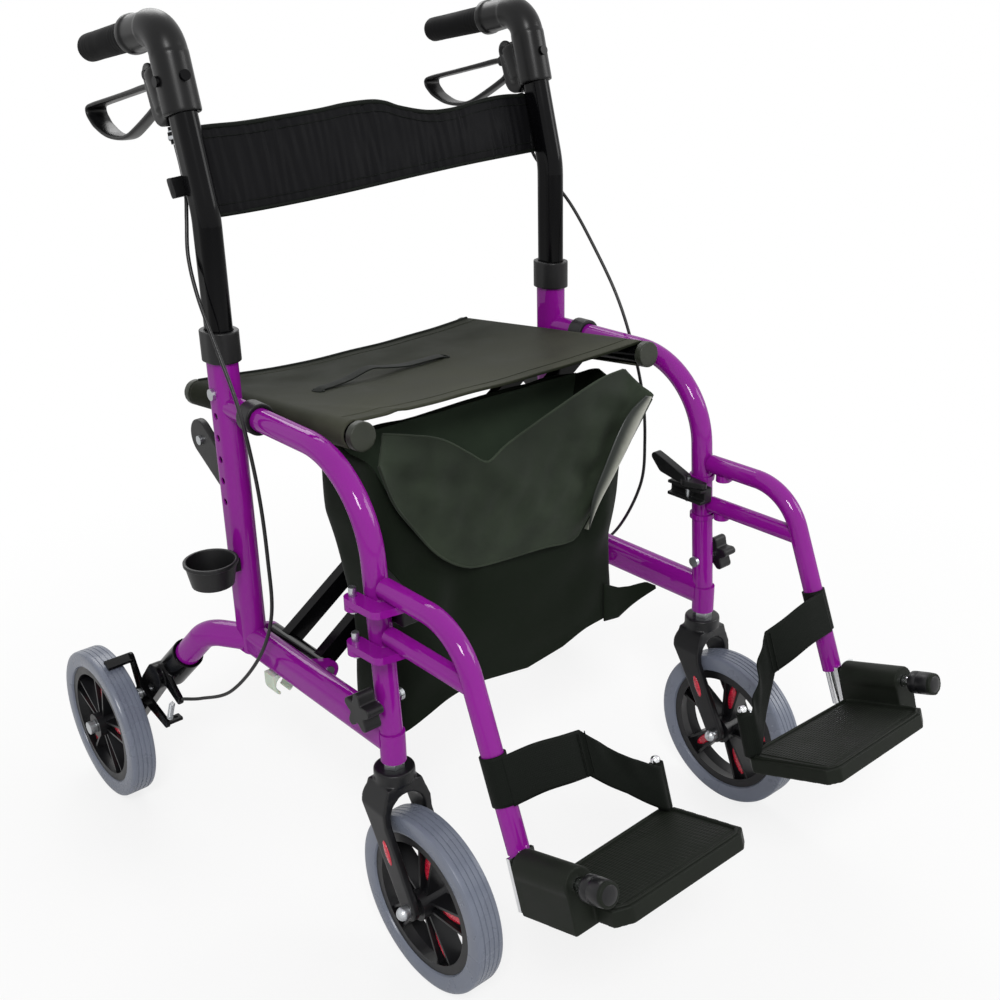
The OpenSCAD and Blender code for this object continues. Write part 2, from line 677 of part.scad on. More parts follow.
// Rim with a dished seat for the tyre, ribbed spokes and a bored hub
module rim(at, axle_d) color(BLACK) translate(at) rotate([0, 90, 0]) difference() {
    w = tyre_w / 2 - 3;
    root = hub_d / 2 - 3;
    reach = rim_r - 8;
    union() {
        rotate_extrude() polygon([[rim_r - 10, -w], [rim_r, -w], [rim_r, w], [rim_r - 10, w],
            [rim_r - 7, 0]]);
        translate([0, 0, -hub_len / 2]) cylinder(h = hub_len, d = hub_d);
        for (i = [0:spokes - 1]) rotate(i * 360 / spokes - spoke_turn) {
            translate([0, 0, -5]) linear_extrude(10) polygon([[root, -root / 2], [reach, -spoke_w / 2],
                [reach, spoke_w / 2], [root, root / 2]]);
            for (s = [-1, 1]) translate([0, 0, -11]) linear_extrude(22) polygon([[root, s * (root / 2 - 3)],
                [reach, s * (spoke_w / 2 - 3)], [reach, s * spoke_w / 2], [root, s * root / 2]]);
        }
    }
    translate([0, 0, -hub_len]) cylinder(h = 2 * hub_len, d = axle_d + 2 * run_gap);
}

// Moulded fork: its side outline and its front outline, crossed
module caster_fork() color(BLACK) difference() {
    top = crown_top - crown_t;
    union() {
        intersection() {
            in_side(frame_x - fork_out, 2 * fork_out) {
                taper([foot_y + 1, top - 18], 21, [foot_y - 8, top - 44], 14.5);
                taper([foot_y - 8, top - 44], 14.5, [caster_y, wheel_r], 12);
                translate([foot_y - crown_d / 2 + 3, top - 20]) square([crown_d - 6, 21]);
            }
            in_front(caster_y - 40, caster_trail + 80) translate([frame_x, 0]) difference() {
                polygon([[-crown_d / 2, top], [crown_d / 2, top], [fork_out, top - 26],
                    [fork_out, wheel_r - 20], [-fork_out, wheel_r - 20], [-fork_out, top - 26]]);
                translate([-fork_in, 0]) square([2 * fork_in, top - 34]);
                translate([0, top - 34]) circle(fork_in);
            }
        }
        translate([frame_x, foot_y, top - 0.5]) cylinder(h = crown_t + 0.5, d = crown_d);
    }
    translate([frame_x, foot_y, top - 40]) cylinder(h = 80, d = stem_d + 2 * seat_gap);
    across(frame_x - 60, 120, [caster_y, wheel_r], front_axle_d + 2 * seat_gap);
}

// Caster stem with its nut, and the front axle with domed nuts
module caster_hardware() color(STEEL) {
    translate([frame_x, foot_y, crown_top - crown_t - 8]) cylinder(h = crown_t + 8 + 45, d = stem_d);
    translate([frame_x, foot_y, crown_top + seat_gap]) cylinder(h = foot_z - crown_top - 3, d = 24, $fn = 6);
    across(frame_x - fork_out - 6, 2 * fork_out + 12, [caster_y, wheel_r], front_axle_d);
    for (s = [-1, 1]) translate([frame_x + s * (fork_out + seat_gap), caster_y, wheel_r])
        rotate([0, s * 90, 0]) {
            cylinder(h = 5, d = 15);
            translate([0, 0, 5]) intersection() {
                sphere(d = 15);
                cylinder(h = 9, d = 15);
            }
        }
}

// Bent tube that carries the footplate, with the two plates that hang on the pins
module hanger() color(PAINT) difference() {
    union() {
        y0 = front_y(arm_z) - front_tube_d / 2 - 3;
        bent_rod([frame_x, y0, arm_z], [frame_x, -hanger_corner, arm_z], hanger_end,
            hanger_bend_r, hanger_d);
        rod([frame_x, front_y(strut_z) - front_tube_d / 2 - 3, strut_z],
            hanger_end - hanger_dir * (strut_z - hanger_end.z) / cos(hanger_lean), hanger_d - 2);
        for (z = [upper_lug_z, lower_lug_z]) translate([0, 0, z + 0.3]) linear_extrude(8) {
            taper(pin, lug_r, [pin.x - 2, pin.y - 38], lug_r);
            taper([pin.x - 2, pin.y - 38], lug_r, [frame_x, pin.y - 42], lug_r);
        }
    }
    translate([pin.x, pin.y, 0]) cylinder(h = upright_top, d = pin_d + 2 * run_gap);
    rod(hanger_end - hanger_dir * 45, hanger_end + hanger_dir * 20, leg_rod_d + 2 * seat_gap);
}

// Sliding leg with the plate and rod that the footplate turns on
module footrest_leg() color(STEEL) {
    rod(hanger_end - hanger_dir * 44, hanger_end + hanger_dir * leg_rod_out, leg_rod_d);
    difference() {
        on_footplate() translate([-block_w / 2, -flip_back, -block_drop + 3])
            cube([block_w, flip_back - 0.4, block_drop + 10]);
        rod(hanger_end - hanger_dir * 45, hanger_end + hanger_dir * 0.4, hanger_d + 2 * pass_gap);
    }
    on_footplate() translate([0, -flip_back, 0]) rotate([-90, 0, 0])
        cylinder(h = flip_back + plate_l - 6, d = flip_rod_d);
}

// Wing lever of the hanger latch
module latch_lever() color(BLACK) {
    z = upper_lug_z - lug_t - 0.5;
    difference() {
        translate([latch.x, latch.y, z]) {
            linear_extrude(7) taper([0, 0], 9, [2, -21], 5);
            in_side(-6, 12) {
                taper([5, 6], 6, [37, 15], 9);
                taper([37, 15], 9, [51, 24], 5);
            }
        }
        translate([latch.x, latch.y, z - 1]) cylinder(h = 40, d = latch_pin_d + 2 * run_gap);
    }
}

// Footplate with its hinge block, heel post and the rubber tip on the rod's end
module footplate() color(BLACK) on_footplate() {
    difference() {
        union() {
            rotate([-90, 0, 0]) cylinder(h = block_l, r = block_r);
            translate([-block_w / 2, 0, -block_drop]) cube([block_w, block_l, block_drop]);
            translate([0, 0, plate_top - plate_t]) linear_extrude(plate_t) polygon([[-10, 1], [-40, 1],
                [12 - plate_w, -7], [-plate_w, 6], [6 - plate_w, plate_l - 9], [18 - plate_w, plate_l],
                [-26, plate_l], [-10, plate_l - 10]]);
            translate([post.x, post.y, plate_top - 2]) cylinder(h = post_h + 2, d = post_d);
        }
        translate([0, -1, 0]) rotate([-90, 0, 0]) cylinder(h = block_l + 2, d = flip_rod_d + 2 * run_gap);
        translate([28 - plate_w, 10, plate_top - plate_t - 1])
            cube([plate_w - 50, plate_l - 24, plate_t - 5]);
    }
    difference() {
        translate([0, block_l + 12, 0]) rotate([-90, 0, 0]) cylinder(h = plate_l - block_l - 6, d = tip_d);
        translate([0, -1, 0]) rotate([-90, 0, 0]) cylinder(h = plate_l - 4, d = flip_rod_d + 2 * run_gap);
    }
}

// Calf strap: a sleeve on the hanger, two straight runs and a sleeve on the heel post
module heel_strap() color(CLOTH) {
    up = 72;
    mid = hanger_end - hanger_dir * up;
    top = flip_point + [post.x, 0, 0] + [0, sin(plate_pitch), cos(plate_pitch)] * (plate_top + 28);
    crease = [frame_x - 103, mid.y + 4, (mid.z + top.z) / 2 - 4];
    difference() {
        rod(mid + hanger_dir * strap_h / 2, mid - hanger_dir * strap_h / 2, hanger_d + 6);
        rod(mid + hanger_dir * strap_h, mid - hanger_dir * strap_h, hanger_d + 2 * seat_gap);
    }
    difference() {
        union() {
            strip(mid + [-hanger_d / 2 - 2, 0, 0], crease, strap_h, 3);
            strip(crease, top + [post_d / 2 + 2, 0, 0], strap_h, 3);
        }
        rod(mid + hanger_dir * strap_h, mid - hanger_dir * strap_h, hanger_d + 2 * pass_gap);
        on_footplate() translate([post.x, post.y, plate_top - 9])
            cylinder(h = strap_h + 30, d = post_d + 3 * pass_gap);
    }
    on_footplate() difference() {
        translate([post.x, post.y, plate_top + 3]) cylinder(h = strap_h - 2, d = post_d + 6);
        translate([post.x, post.y, plate_top]) cylinder(h = strap_h + 9, d = post_d + 2 * pass_gap);
    }
}

// Five-lobed knob
module star_knob() color(BLACK) difference() {
    in_side(knob_x, knob_t) translate([front_y(knob_z), knob_z]) {
        circle(12);
        for (i = [0:4]) rotate(i * 72 + 18) taper([0, 0], 9, [knob_r - 5, 0], 5);
    }
    across(knob_x - 1, knob_t - 3, [front_y(knob_z), knob_z], stud_d + 2 * run_gap);
}

// Cup on the outer side of the right upright, with its bracket
module cup_holder() color(BLACK) {
    foot_r = cup_r - 6;
    translate([cup_at.x, cup_at.y, cup_z]) rotate_extrude() polygon([[0, 0], [foot_r, 0],
        [cup_r - 1, cup_h - 5], [cup_r + 1, cup_h - 4], [cup_r + 1, cup_h], [cup_r - cup_wall, cup_h],
        [foot_r - cup_wall, cup_wall], [0, cup_wall]]);
    x = frame_x + upright_w / 2 + seat_gap;
    difference() {
        translate([x, cup_at.y - 8, cup_z + 8]) cube([12, 24, cup_h - 14]);
        translate([cup_at.x, cup_at.y, cup_z]) cylinder(h = cup_h, r1 = cup_r - 6.5, r2 = cup_r - 1.5);
    }
}

// One leg of the cross: hinge tube, two bars and a seat tube
module brace_bars(first_y, grow) for (y = [first_y, first_y + bar_pitch])
    in_front(y - bar_l / 2 - grow, bar_l + 2 * grow)
        taper([-pivot_x, pivot_z], bar_w / 2 + grow, [seat_x, seat_at(y)], bar_w / 2 + grow);

module cross_leg(first_y) color(BLACK) difference() {
    union() {
        translate([-pivot_x, hinge_y0, pivot_z]) rotate([-90, 0, 0])
            cylinder(h = hinge_y1 - hinge_y0, d = hinge_tube_d);
        brace_bars(first_y, 0);
        on_seat() translate([seat_x, -seat_ahead, 0]) rotate([-90, 0, 0])
            cylinder(h = seat_ahead + seat_behind, d = seat_tube_d);
    }
    translate([-pivot_x, -seat_front, pivot_z]) rotate([-90, 0, 0])
        cylinder(h = seat_front + seat_rear, d = hinge_rod_d + 2 * run_gap);
    translate([0, -seat_front, centre_z]) rotate([-90, 0, 0])
        cylinder(h = seat_front + seat_rear, d = cross_bolt_d + 2 * run_gap);
}

module seat_caps() color(BLACK) on_seat()
    for (y = [-seat_ahead - cap_t - seat_gap, seat_behind + seat_gap]) translate([seat_x, y, 0])
        rotate([-90, 0, 0]) cylinder(h = cap_t, r = sling_r);

// Bolts and washers where the legs cross
module cross_bolts() color(STEEL) for (i = [0, 1]) {
    y = brace_y + i * bar_pitch - bar_l / 2;
    step = bar_l + bar_gap;
    translate([0, y - 1, centre_z]) rotate([-90, 0, 0]) cylinder(h = step + bar_l + 2, d = cross_bolt_d);
    translate([0, y - 5.1, centre_z]) rotate([-90, 0, 0]) cylinder(h = 5, d = 14);
    translate([0, y + step + bar_l + 0.3, centre_z]) rotate([-90, 0, 0]) cylinder(h = 5, d = 14);
}

// Cloth seat with a sleeve on each seat tube
module seat_sling() color(CLOTH) difference() {
    on_seat() in_front(4 - seat_ahead, seat_ahead + seat_behind - 8) difference() {
        union() {
            translate([-seat_x, sling_r - cloth_t]) square([2 * seat_x, cloth_t + seat_proud]);
            for (s = [-1, 1]) translate([s * seat_x, 0]) circle(sling_r);
        }
        for (s = [-1, 1]) translate([s * seat_x, 0]) circle(sling_r - cloth_t);
    }
    brace_bars(brace_y, pass_gap);
    sided("right") brace_bars(brace_y + bar_l + bar_gap, pass_gap);
}

// Open-topped bag under the seat
module bag() color(CLOTH) difference() {
    in_front(bag_front, bag_rear - bag_front) polygon(bag_outline);
    in_front(bag_front + cloth_t, bag_rear - bag_front - 2 * cloth_t) {
        offset(delta = -cloth_t) polygon(bag_outline);
        translate([3 - bag_w / 2, bag_top - 20]) square([bag_w - 6, 40]);
    }
}

// Band behind the push tubes, with a raised middle and a stop block at each end
module backrest() color(CLOTH) translate([0, upright_y, corner_z]) rotate([-push_tilt, 0, 0])
    translate([0, 0, 4]) {
        in_front(push_l / 2 + 1.6, back_t) {
            translate([-back_w / 2, 0]) square([back_w, back_h]);
            intersection() {
                translate([0, back_h + 10 - 900]) circle(900);
                translate([-110, back_h - 10]) square([220, 40]);
            }
        }
        for (s = [-1, 1]) translate([s * (frame_x + push_w / 2 + 8 + back_gap) - 8, push_l / 2 - 12, 14])
            cube([16, 12 + 1.6 + back_t / 2, 24]);
    }

// Draws a left piece, or its mirror image for the right side
module sided(side) {
    if (side == "left") children();
    else mirror([1, 0, 0]) children();
}

// Pieces that come in a left and a right one
module half(name, side) sided(side) {
    if (name == "side_frame") side_frame();
    if (name == "upright_collar") upright_collar();
    if (name == "frame_fittings") frame_fittings();
    if (name == "wheel_bracket") wheel_bracket();
    if (name == "frame_hardware") frame_hardware();
    if (name == "brake_cable") brake_cable(side == "left" ? left_route : right_route);
    if (name == "storage_clip") storage_clip();
    if (name == "push_tube") push_tube();
    if (name == "handle_housing") handle_housing();
    if (name == "hand_grip") hand_grip();
    if (name == "handle_hardware") handle_hardware();
    if (name == "brake_lever") brake_lever();
    if (name == "brake_arm") brake_arm();
    if (name == "rear_tyre") tyre([rear_wheel_x, rear_axle_y, wheel_r]);
    if (name == "rear_rim") rim([rear_wheel_x, rear_axle_y, wheel_r], rear_axle_d);
    if (name == "caster_fork") caster_fork();
    if (name == "caster_hardware") caster_hardware();
    if (name == "front_tyre") tyre([frame_x, caster_y, wheel_r]);
    if (name == "front_rim") rim([frame_x, caster_y, wheel_r], front_axle_d);
    if (name == "hanger") hanger();
    if (name == "footrest_leg") footrest_leg();
    if (name == "latch_lever") latch_lever();
    if (name == "footplate") footplate();
    if (name == "heel_strap") heel_strap();
    if (name == "star_knob") star_knob();
}

for (name = HALF_NODES, side = ["right", "left"])
    half(name, side);
sided("right") cup_holder();
cross_leg(brace_y);  // cross_leg_a
sided("right") cross_leg(brace_y + bar_l + bar_gap);  // cross_leg_b
seat_caps();  // seat_caps_a
sided("right") seat_caps();  // seat_caps_b
cross_bolts();
seat_sling();
bag();
backrest();
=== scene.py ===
"""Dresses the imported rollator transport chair: tyres, grips, cloth, straps, finishes and a studio stage."""
import math

import bmesh
import bpy
import numpy as np
from mathutils import Matrix, Vector


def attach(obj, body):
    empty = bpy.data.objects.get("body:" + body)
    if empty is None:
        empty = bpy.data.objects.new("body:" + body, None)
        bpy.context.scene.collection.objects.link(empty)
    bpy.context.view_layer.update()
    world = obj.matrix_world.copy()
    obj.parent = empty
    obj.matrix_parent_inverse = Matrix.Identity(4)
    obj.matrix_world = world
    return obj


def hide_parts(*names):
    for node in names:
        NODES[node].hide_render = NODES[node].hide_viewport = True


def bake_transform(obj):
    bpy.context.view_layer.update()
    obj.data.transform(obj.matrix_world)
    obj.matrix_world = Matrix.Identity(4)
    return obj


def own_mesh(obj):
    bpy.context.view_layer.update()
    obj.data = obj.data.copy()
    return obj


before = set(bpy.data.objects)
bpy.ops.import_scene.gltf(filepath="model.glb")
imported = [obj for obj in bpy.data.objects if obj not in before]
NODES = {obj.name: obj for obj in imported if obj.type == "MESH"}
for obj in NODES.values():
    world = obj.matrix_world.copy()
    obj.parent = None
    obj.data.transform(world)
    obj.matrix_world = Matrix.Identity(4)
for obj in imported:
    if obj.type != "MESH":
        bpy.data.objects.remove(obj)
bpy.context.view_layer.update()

bl_info = {
    "name": "Rollator transport chair",
    "version": (1, 0, 0),
    "blender": (4, 5, 0),
    "location": "View3D > Sidebar > Chair",
    "description": "Dresses the packed rollator chair with tyres, grips, cloth, straps and finishes",
    "category": "Object",
}

SIDES = {"right": -1.0, "left": 1.0}
MM = 0.001
FINISHES = {}
UPRIGHT = (0, 0, 1)
# Vertices closer than this, in metres, are one
DOUBLES = 1e-6
# Most of a noise texture's values lie in this span
NOISE_SPAN = (0.3, 0.7)
# At scale 1 a wave texture repeats after this length
WAVE_PITCH = 0.314159

# Places and sizes on the chair in millimetres, given for the left side (+X), as in the part's source
FRAME_X = 243.0
REAR_HUB = (349.0, 365.0, 100.0)
FRONT_HUB = (243.0, -190.0, 100.0)
SPOKE_START = 26.0
SPOKES = 5
SEAT_X = 207.0
SEAT_AT = (89.0, 560.0)
SEAT_SLOPE = math.radians(5.7)
SLEEVE_R = 14.7
PUSH_AT = (145.0, 775.0)
PUSH_TILT = math.radians(15.0)
PUSH_UP = (0.0, math.sin(PUSH_TILT), math.cos(PUSH_TILT))
GRIP_DIP = math.radians(8.0)
GRIP_AT = (243.0, 193.7, 956.6)
FLIP_AT = (250.0, -349.2, 243.0)
PLATE_PITCH = math.radians(18.0)
PLATE_UP = (0.0, math.sin(PLATE_PITCH), math.cos(PLATE_PITCH))
PLATE_AHEAD = (0.0, -math.cos(PLATE_PITCH), math.sin(PLATE_PITCH))
LEG_UP = (0.0, 0.3665, 0.930)
# The way that a caster fork's legs slant
LEG_WAY = (0, 0.42, 0.9)
# The middle of the heel post in the footplate's own frame
POST_AT = (-182.0, 1.0, 0.5)
CABLES = {
    "right": [
        [243, 195.5, 840], [243, 188, 815], [245, 181, 790], [250, 176, 765], [260, 162, 730],
        [265, 140, 690], [266, 108, 640], [266, 74, 580], [266, 52, 500], [266, 46, 420],
        [267, 49, 350], [272, 80, 285], [284, 135, 222], [296, 190, 192], [306, 225, 179],
    ],
    "left": [
        [243, 195.5, 840], [243, 188, 815], [246, 181, 785], [258, 165, 758], [265, 129, 722],
        [267, 90, 675], [268, 50, 620], [268, 22, 565], [268, 0, 500], [268, -7, 435],
        [269, 0, 370], [273, 45, 290], [284, 115, 230], [296, 185, 193], [306, 225, 179],
    ],
}


def linear(colour):
    """An sRGB hex colour as the linear values that sockets and properties hold."""
    value = np.array([int(colour[i:i + 2], 16) for i in (1, 3, 5)]) / 255
    flat = np.where(value <= 0.04045, value / 12.92, ((value + 0.055) / 1.055) ** 2.4)
    return (*flat.tolist(), 1.0)


def colour_property(name, description, colour):
    """A colour setting whose default is an sRGB hex value."""
    return bpy.props.FloatVectorProperty(
        name=name, description=description, subtype="COLOR", size=4, min=0, max=1, default=linear(colour))


def length_property(name, description, millimetres):
    """A length setting whose default is given in millimetres."""
    return bpy.props.FloatProperty(
        name=name, description=description, unit="LENGTH", default=millimetres * MM, precision=4)


class ChairColours(bpy.types.PropertyGroup):
    """Colours that a user would change."""

    frame_paint: colour_property("Frame paint", "Gloss powder coat on the frame", "#8F1494")
    tyre: colour_property("Tyre", "Polyurethane of the four tyres", "#757B8A")
    reflector: colour_property("Reflector", "Lens on the spokes and fork legs", "#B80C2E")
    seat_cloth: colour_property("Seat cloth", "Coated nylon of the seat", "#1E2118")
    bag_cloth: colour_property("Bag cloth", "Oxford cloth of the bag", "#121A10")
    band_cloth: colour_property("Back band cloth", "Gathered cloth of the back band", "#121214")


class ChairSizes(bpy.types.PropertyGroup):
    """Sizes of the soft pieces that a user would change."""

    seat_sag: length_property("Seat sag", "Dip in the middle of the seat cloth", 9.0)
    cloth: length_property("Cloth", "Thickness of the seat and bag cloth", 1.6)
    strap_height: length_property("Strap height", "Width of the heel strap webbing", 48.0)
    gather: length_property("Gather", "Depth of the gathers in the back band", 1.5)
    bag_bulge: length_property("Bag bulge", "How far the bag's front swells", 7.0)


def add(material, kind, sockets=None, **settings):
    """Adds one shader node; sockets maps an input's name or number to a value or another node's output."""
    node = material.node_tree.nodes.new("ShaderNode" + kind)
    for key, value in settings.items():
        setattr(node, key, value)
    for key, value in (sockets or {}).items():
        if isinstance(value, bpy.types.NodeSocket):
            material.node_tree.links.new(value, node.inputs[key])
        else:
            node.inputs[key].default_value = value
    return node


def mapped(material, value, source=(0.0, 1.0), target=(0.0, 1.0), **settings):
    """Maps a value from one range to another, clamped."""
    ends = {0: value, 1: source[0], 2: source[1], 3: target[0], 4: target[1]}
    return add(material, "MapRange", ends, **settings).outputs[0]


def maths(material, operation, first, second):
    """Two values joined by one operation."""
    return add(material, "Math", {0: first, 1: second}, operation=operation).outputs[0]


def blended(material, share, first, second):
    """Two colours mixed by a share; each is a hex value, linear values or a node's output."""
    ends = [linear(colour) if isinstance(colour, str) else colour for colour in (first, second)]
    return add(material, "Mix", {0: share, 6: ends[0], 7: ends[1]}, data_type="RGBA").outputs[2]


def noise(material, place, pitch, detail):
    """Noise of the given pitch in mm."""
    sockets = {"Vector": place, "Scale": 1 / (pitch * MM), "Detail": detail}
    return add(material, "TexNoise", sockets).outputs[0]


def blank(name):
    """A new material without nodes."""
    made = bpy.data.materials.new(name)
    made.use_nodes = True
    made.node_tree.nodes.clear()
    return made


def surfaced(made, colour, gloss, height, bump, constants):
    """Ends a material: one shader with colour, gloss, a bump of (strength, mm) and constant sockets."""
    relief = add(made, "Bump", {"Height": height, "Strength": bump[0], "Distance": bump[1] * MM})
    sockets = {"Base Color": colour, "Roughness": gloss, "Normal": relief.outputs[0]}
    sockets.update({key.replace("_", " "): value for key, value in constants.items()})
    shader = add(made, "BsdfPrincipled", sockets)
    add(made, "OutputMaterial", {"Surface": shader.outputs[0]})
    return made


def mottled(name, colours, rough, grain, depth, drift, **constants):
    """A moulded, painted or plated skin: colour drifts over drift mm, and bumps stand grain mm apart."""
    made = blank(name)
    place = add(made, "TexCoord").outputs["Object"]
    wide = noise(made, place, drift, 4.0)
    fine = noise(made, place, grain, 2.0)
    gloss = mapped(made, wide, NOISE_SPAN, rough)
    return surfaced(made, blended(made, wide, *colours), gloss, fine, (0.6, depth), constants)


def woven(name, colours, rough, pitch, depth, drift, painted_light_ramp=None, **constants):
    """A plain weave on the piece's own UV: threads cross pitch mm apart, and the dye drifts over drift mm.

    painted_light_ramp, as (reach in mm, share at the start, share at the reach, colour), is painted light and
    reflection: it pales the cloth in patches along its second UV axis.
    """
    made = blank(name)
    coords = add(made, "TexCoord")
    wave = {"Vector": coords.outputs["UV"], "Scale": WAVE_PITCH / (pitch * MM)}
    warp, weft = (add(made, "TexWave", wave, bands_direction=way).outputs[1] for way in "XY")
    cloth = maths(made, "MAXIMUM", warp, weft)
    wide = noise(made, coords.outputs["Object"], drift, 5.0)
    colour = blended(made, maths(made, "MULTIPLY", cloth, wide), *colours)
    # Painted light: a pale colour mixed in along the cloth's second UV axis stands in for light and sheen
    if painted_light_ramp:
        length, first, last, pale = painted_light_ramp
        along = add(made, "SeparateXYZ", {0: coords.outputs["UV"]}).outputs[1]
        share = mapped(made, along, (0.0, length * MM), (first, last))
        patchy = mapped(made, wide, (0.35, 0.65), (0.62, 1.1))
        colour = blended(made, maths(made, "MULTIPLY", share, patchy), colour, pale)
    return surfaced(made, colour, mapped(made, wide, NOISE_SPAN, rough), cloth, (0.7, depth), constants)


def satin(name, colours, rough, fade):
    """Satin lining with a painted highlight: across the strip's UV the painted highlight starts, is full and
    ends at the seam, in mm.
    """
    made = blank(name)
    place = add(made, "TexCoord").outputs["UV"]
    across = add(made, "SeparateXYZ", {0: place}).outputs[0]
    grain = noise(made, place, 9, 4.0)
    start, full, seam = (width * MM for width in fade)
    rising = mapped(made, across, (start, full), interpolation_type="SMOOTHSTEP")
    ending = mapped(made, across, (full, seam), (1.0, 0.35), interpolation_type="SMOOTHSTEP")
    highlight_mottle = mapped(made, grain, NOISE_SPAN, (0.8, 1.0))
    # The pale band across the strip is a painted highlight, mottled a little by grain
    coat = maths(made, "MULTIPLY", maths(made, "MULTIPLY", rising, ending), highlight_mottle)
    gloss = mapped(made, grain, NOISE_SPAN, rough)
    colour = blended(made, coat, *colours)
    return surfaced(made, colour, gloss, grain, (0.5, 0.1), {"Specular_IOR_Level": 0.4})


def prismatic(name, colours):
    """Acrylic reflector lens: cells of 1.6 mm catch the light one by one, so the red glitters in grains."""
    made = blank(name)
    place = add(made, "TexCoord").outputs["Object"]
    cells = add(made, "TexVoronoi", {"Vector": place, "Scale": 1 / (1.6 * MM)})
    tone = add(made, "SeparateColor", {0: cells.outputs["Color"]})
    colour = blended(made, tone.outputs[0], *colours)
    gloss = mapped(made, tone.outputs[1], target=(0.08, 0.3))
    return surfaced(made, colour, gloss, cells.outputs[0], (0.8, 0.5), {"IOR": 1.49, "Coat_Weight": 0.5})


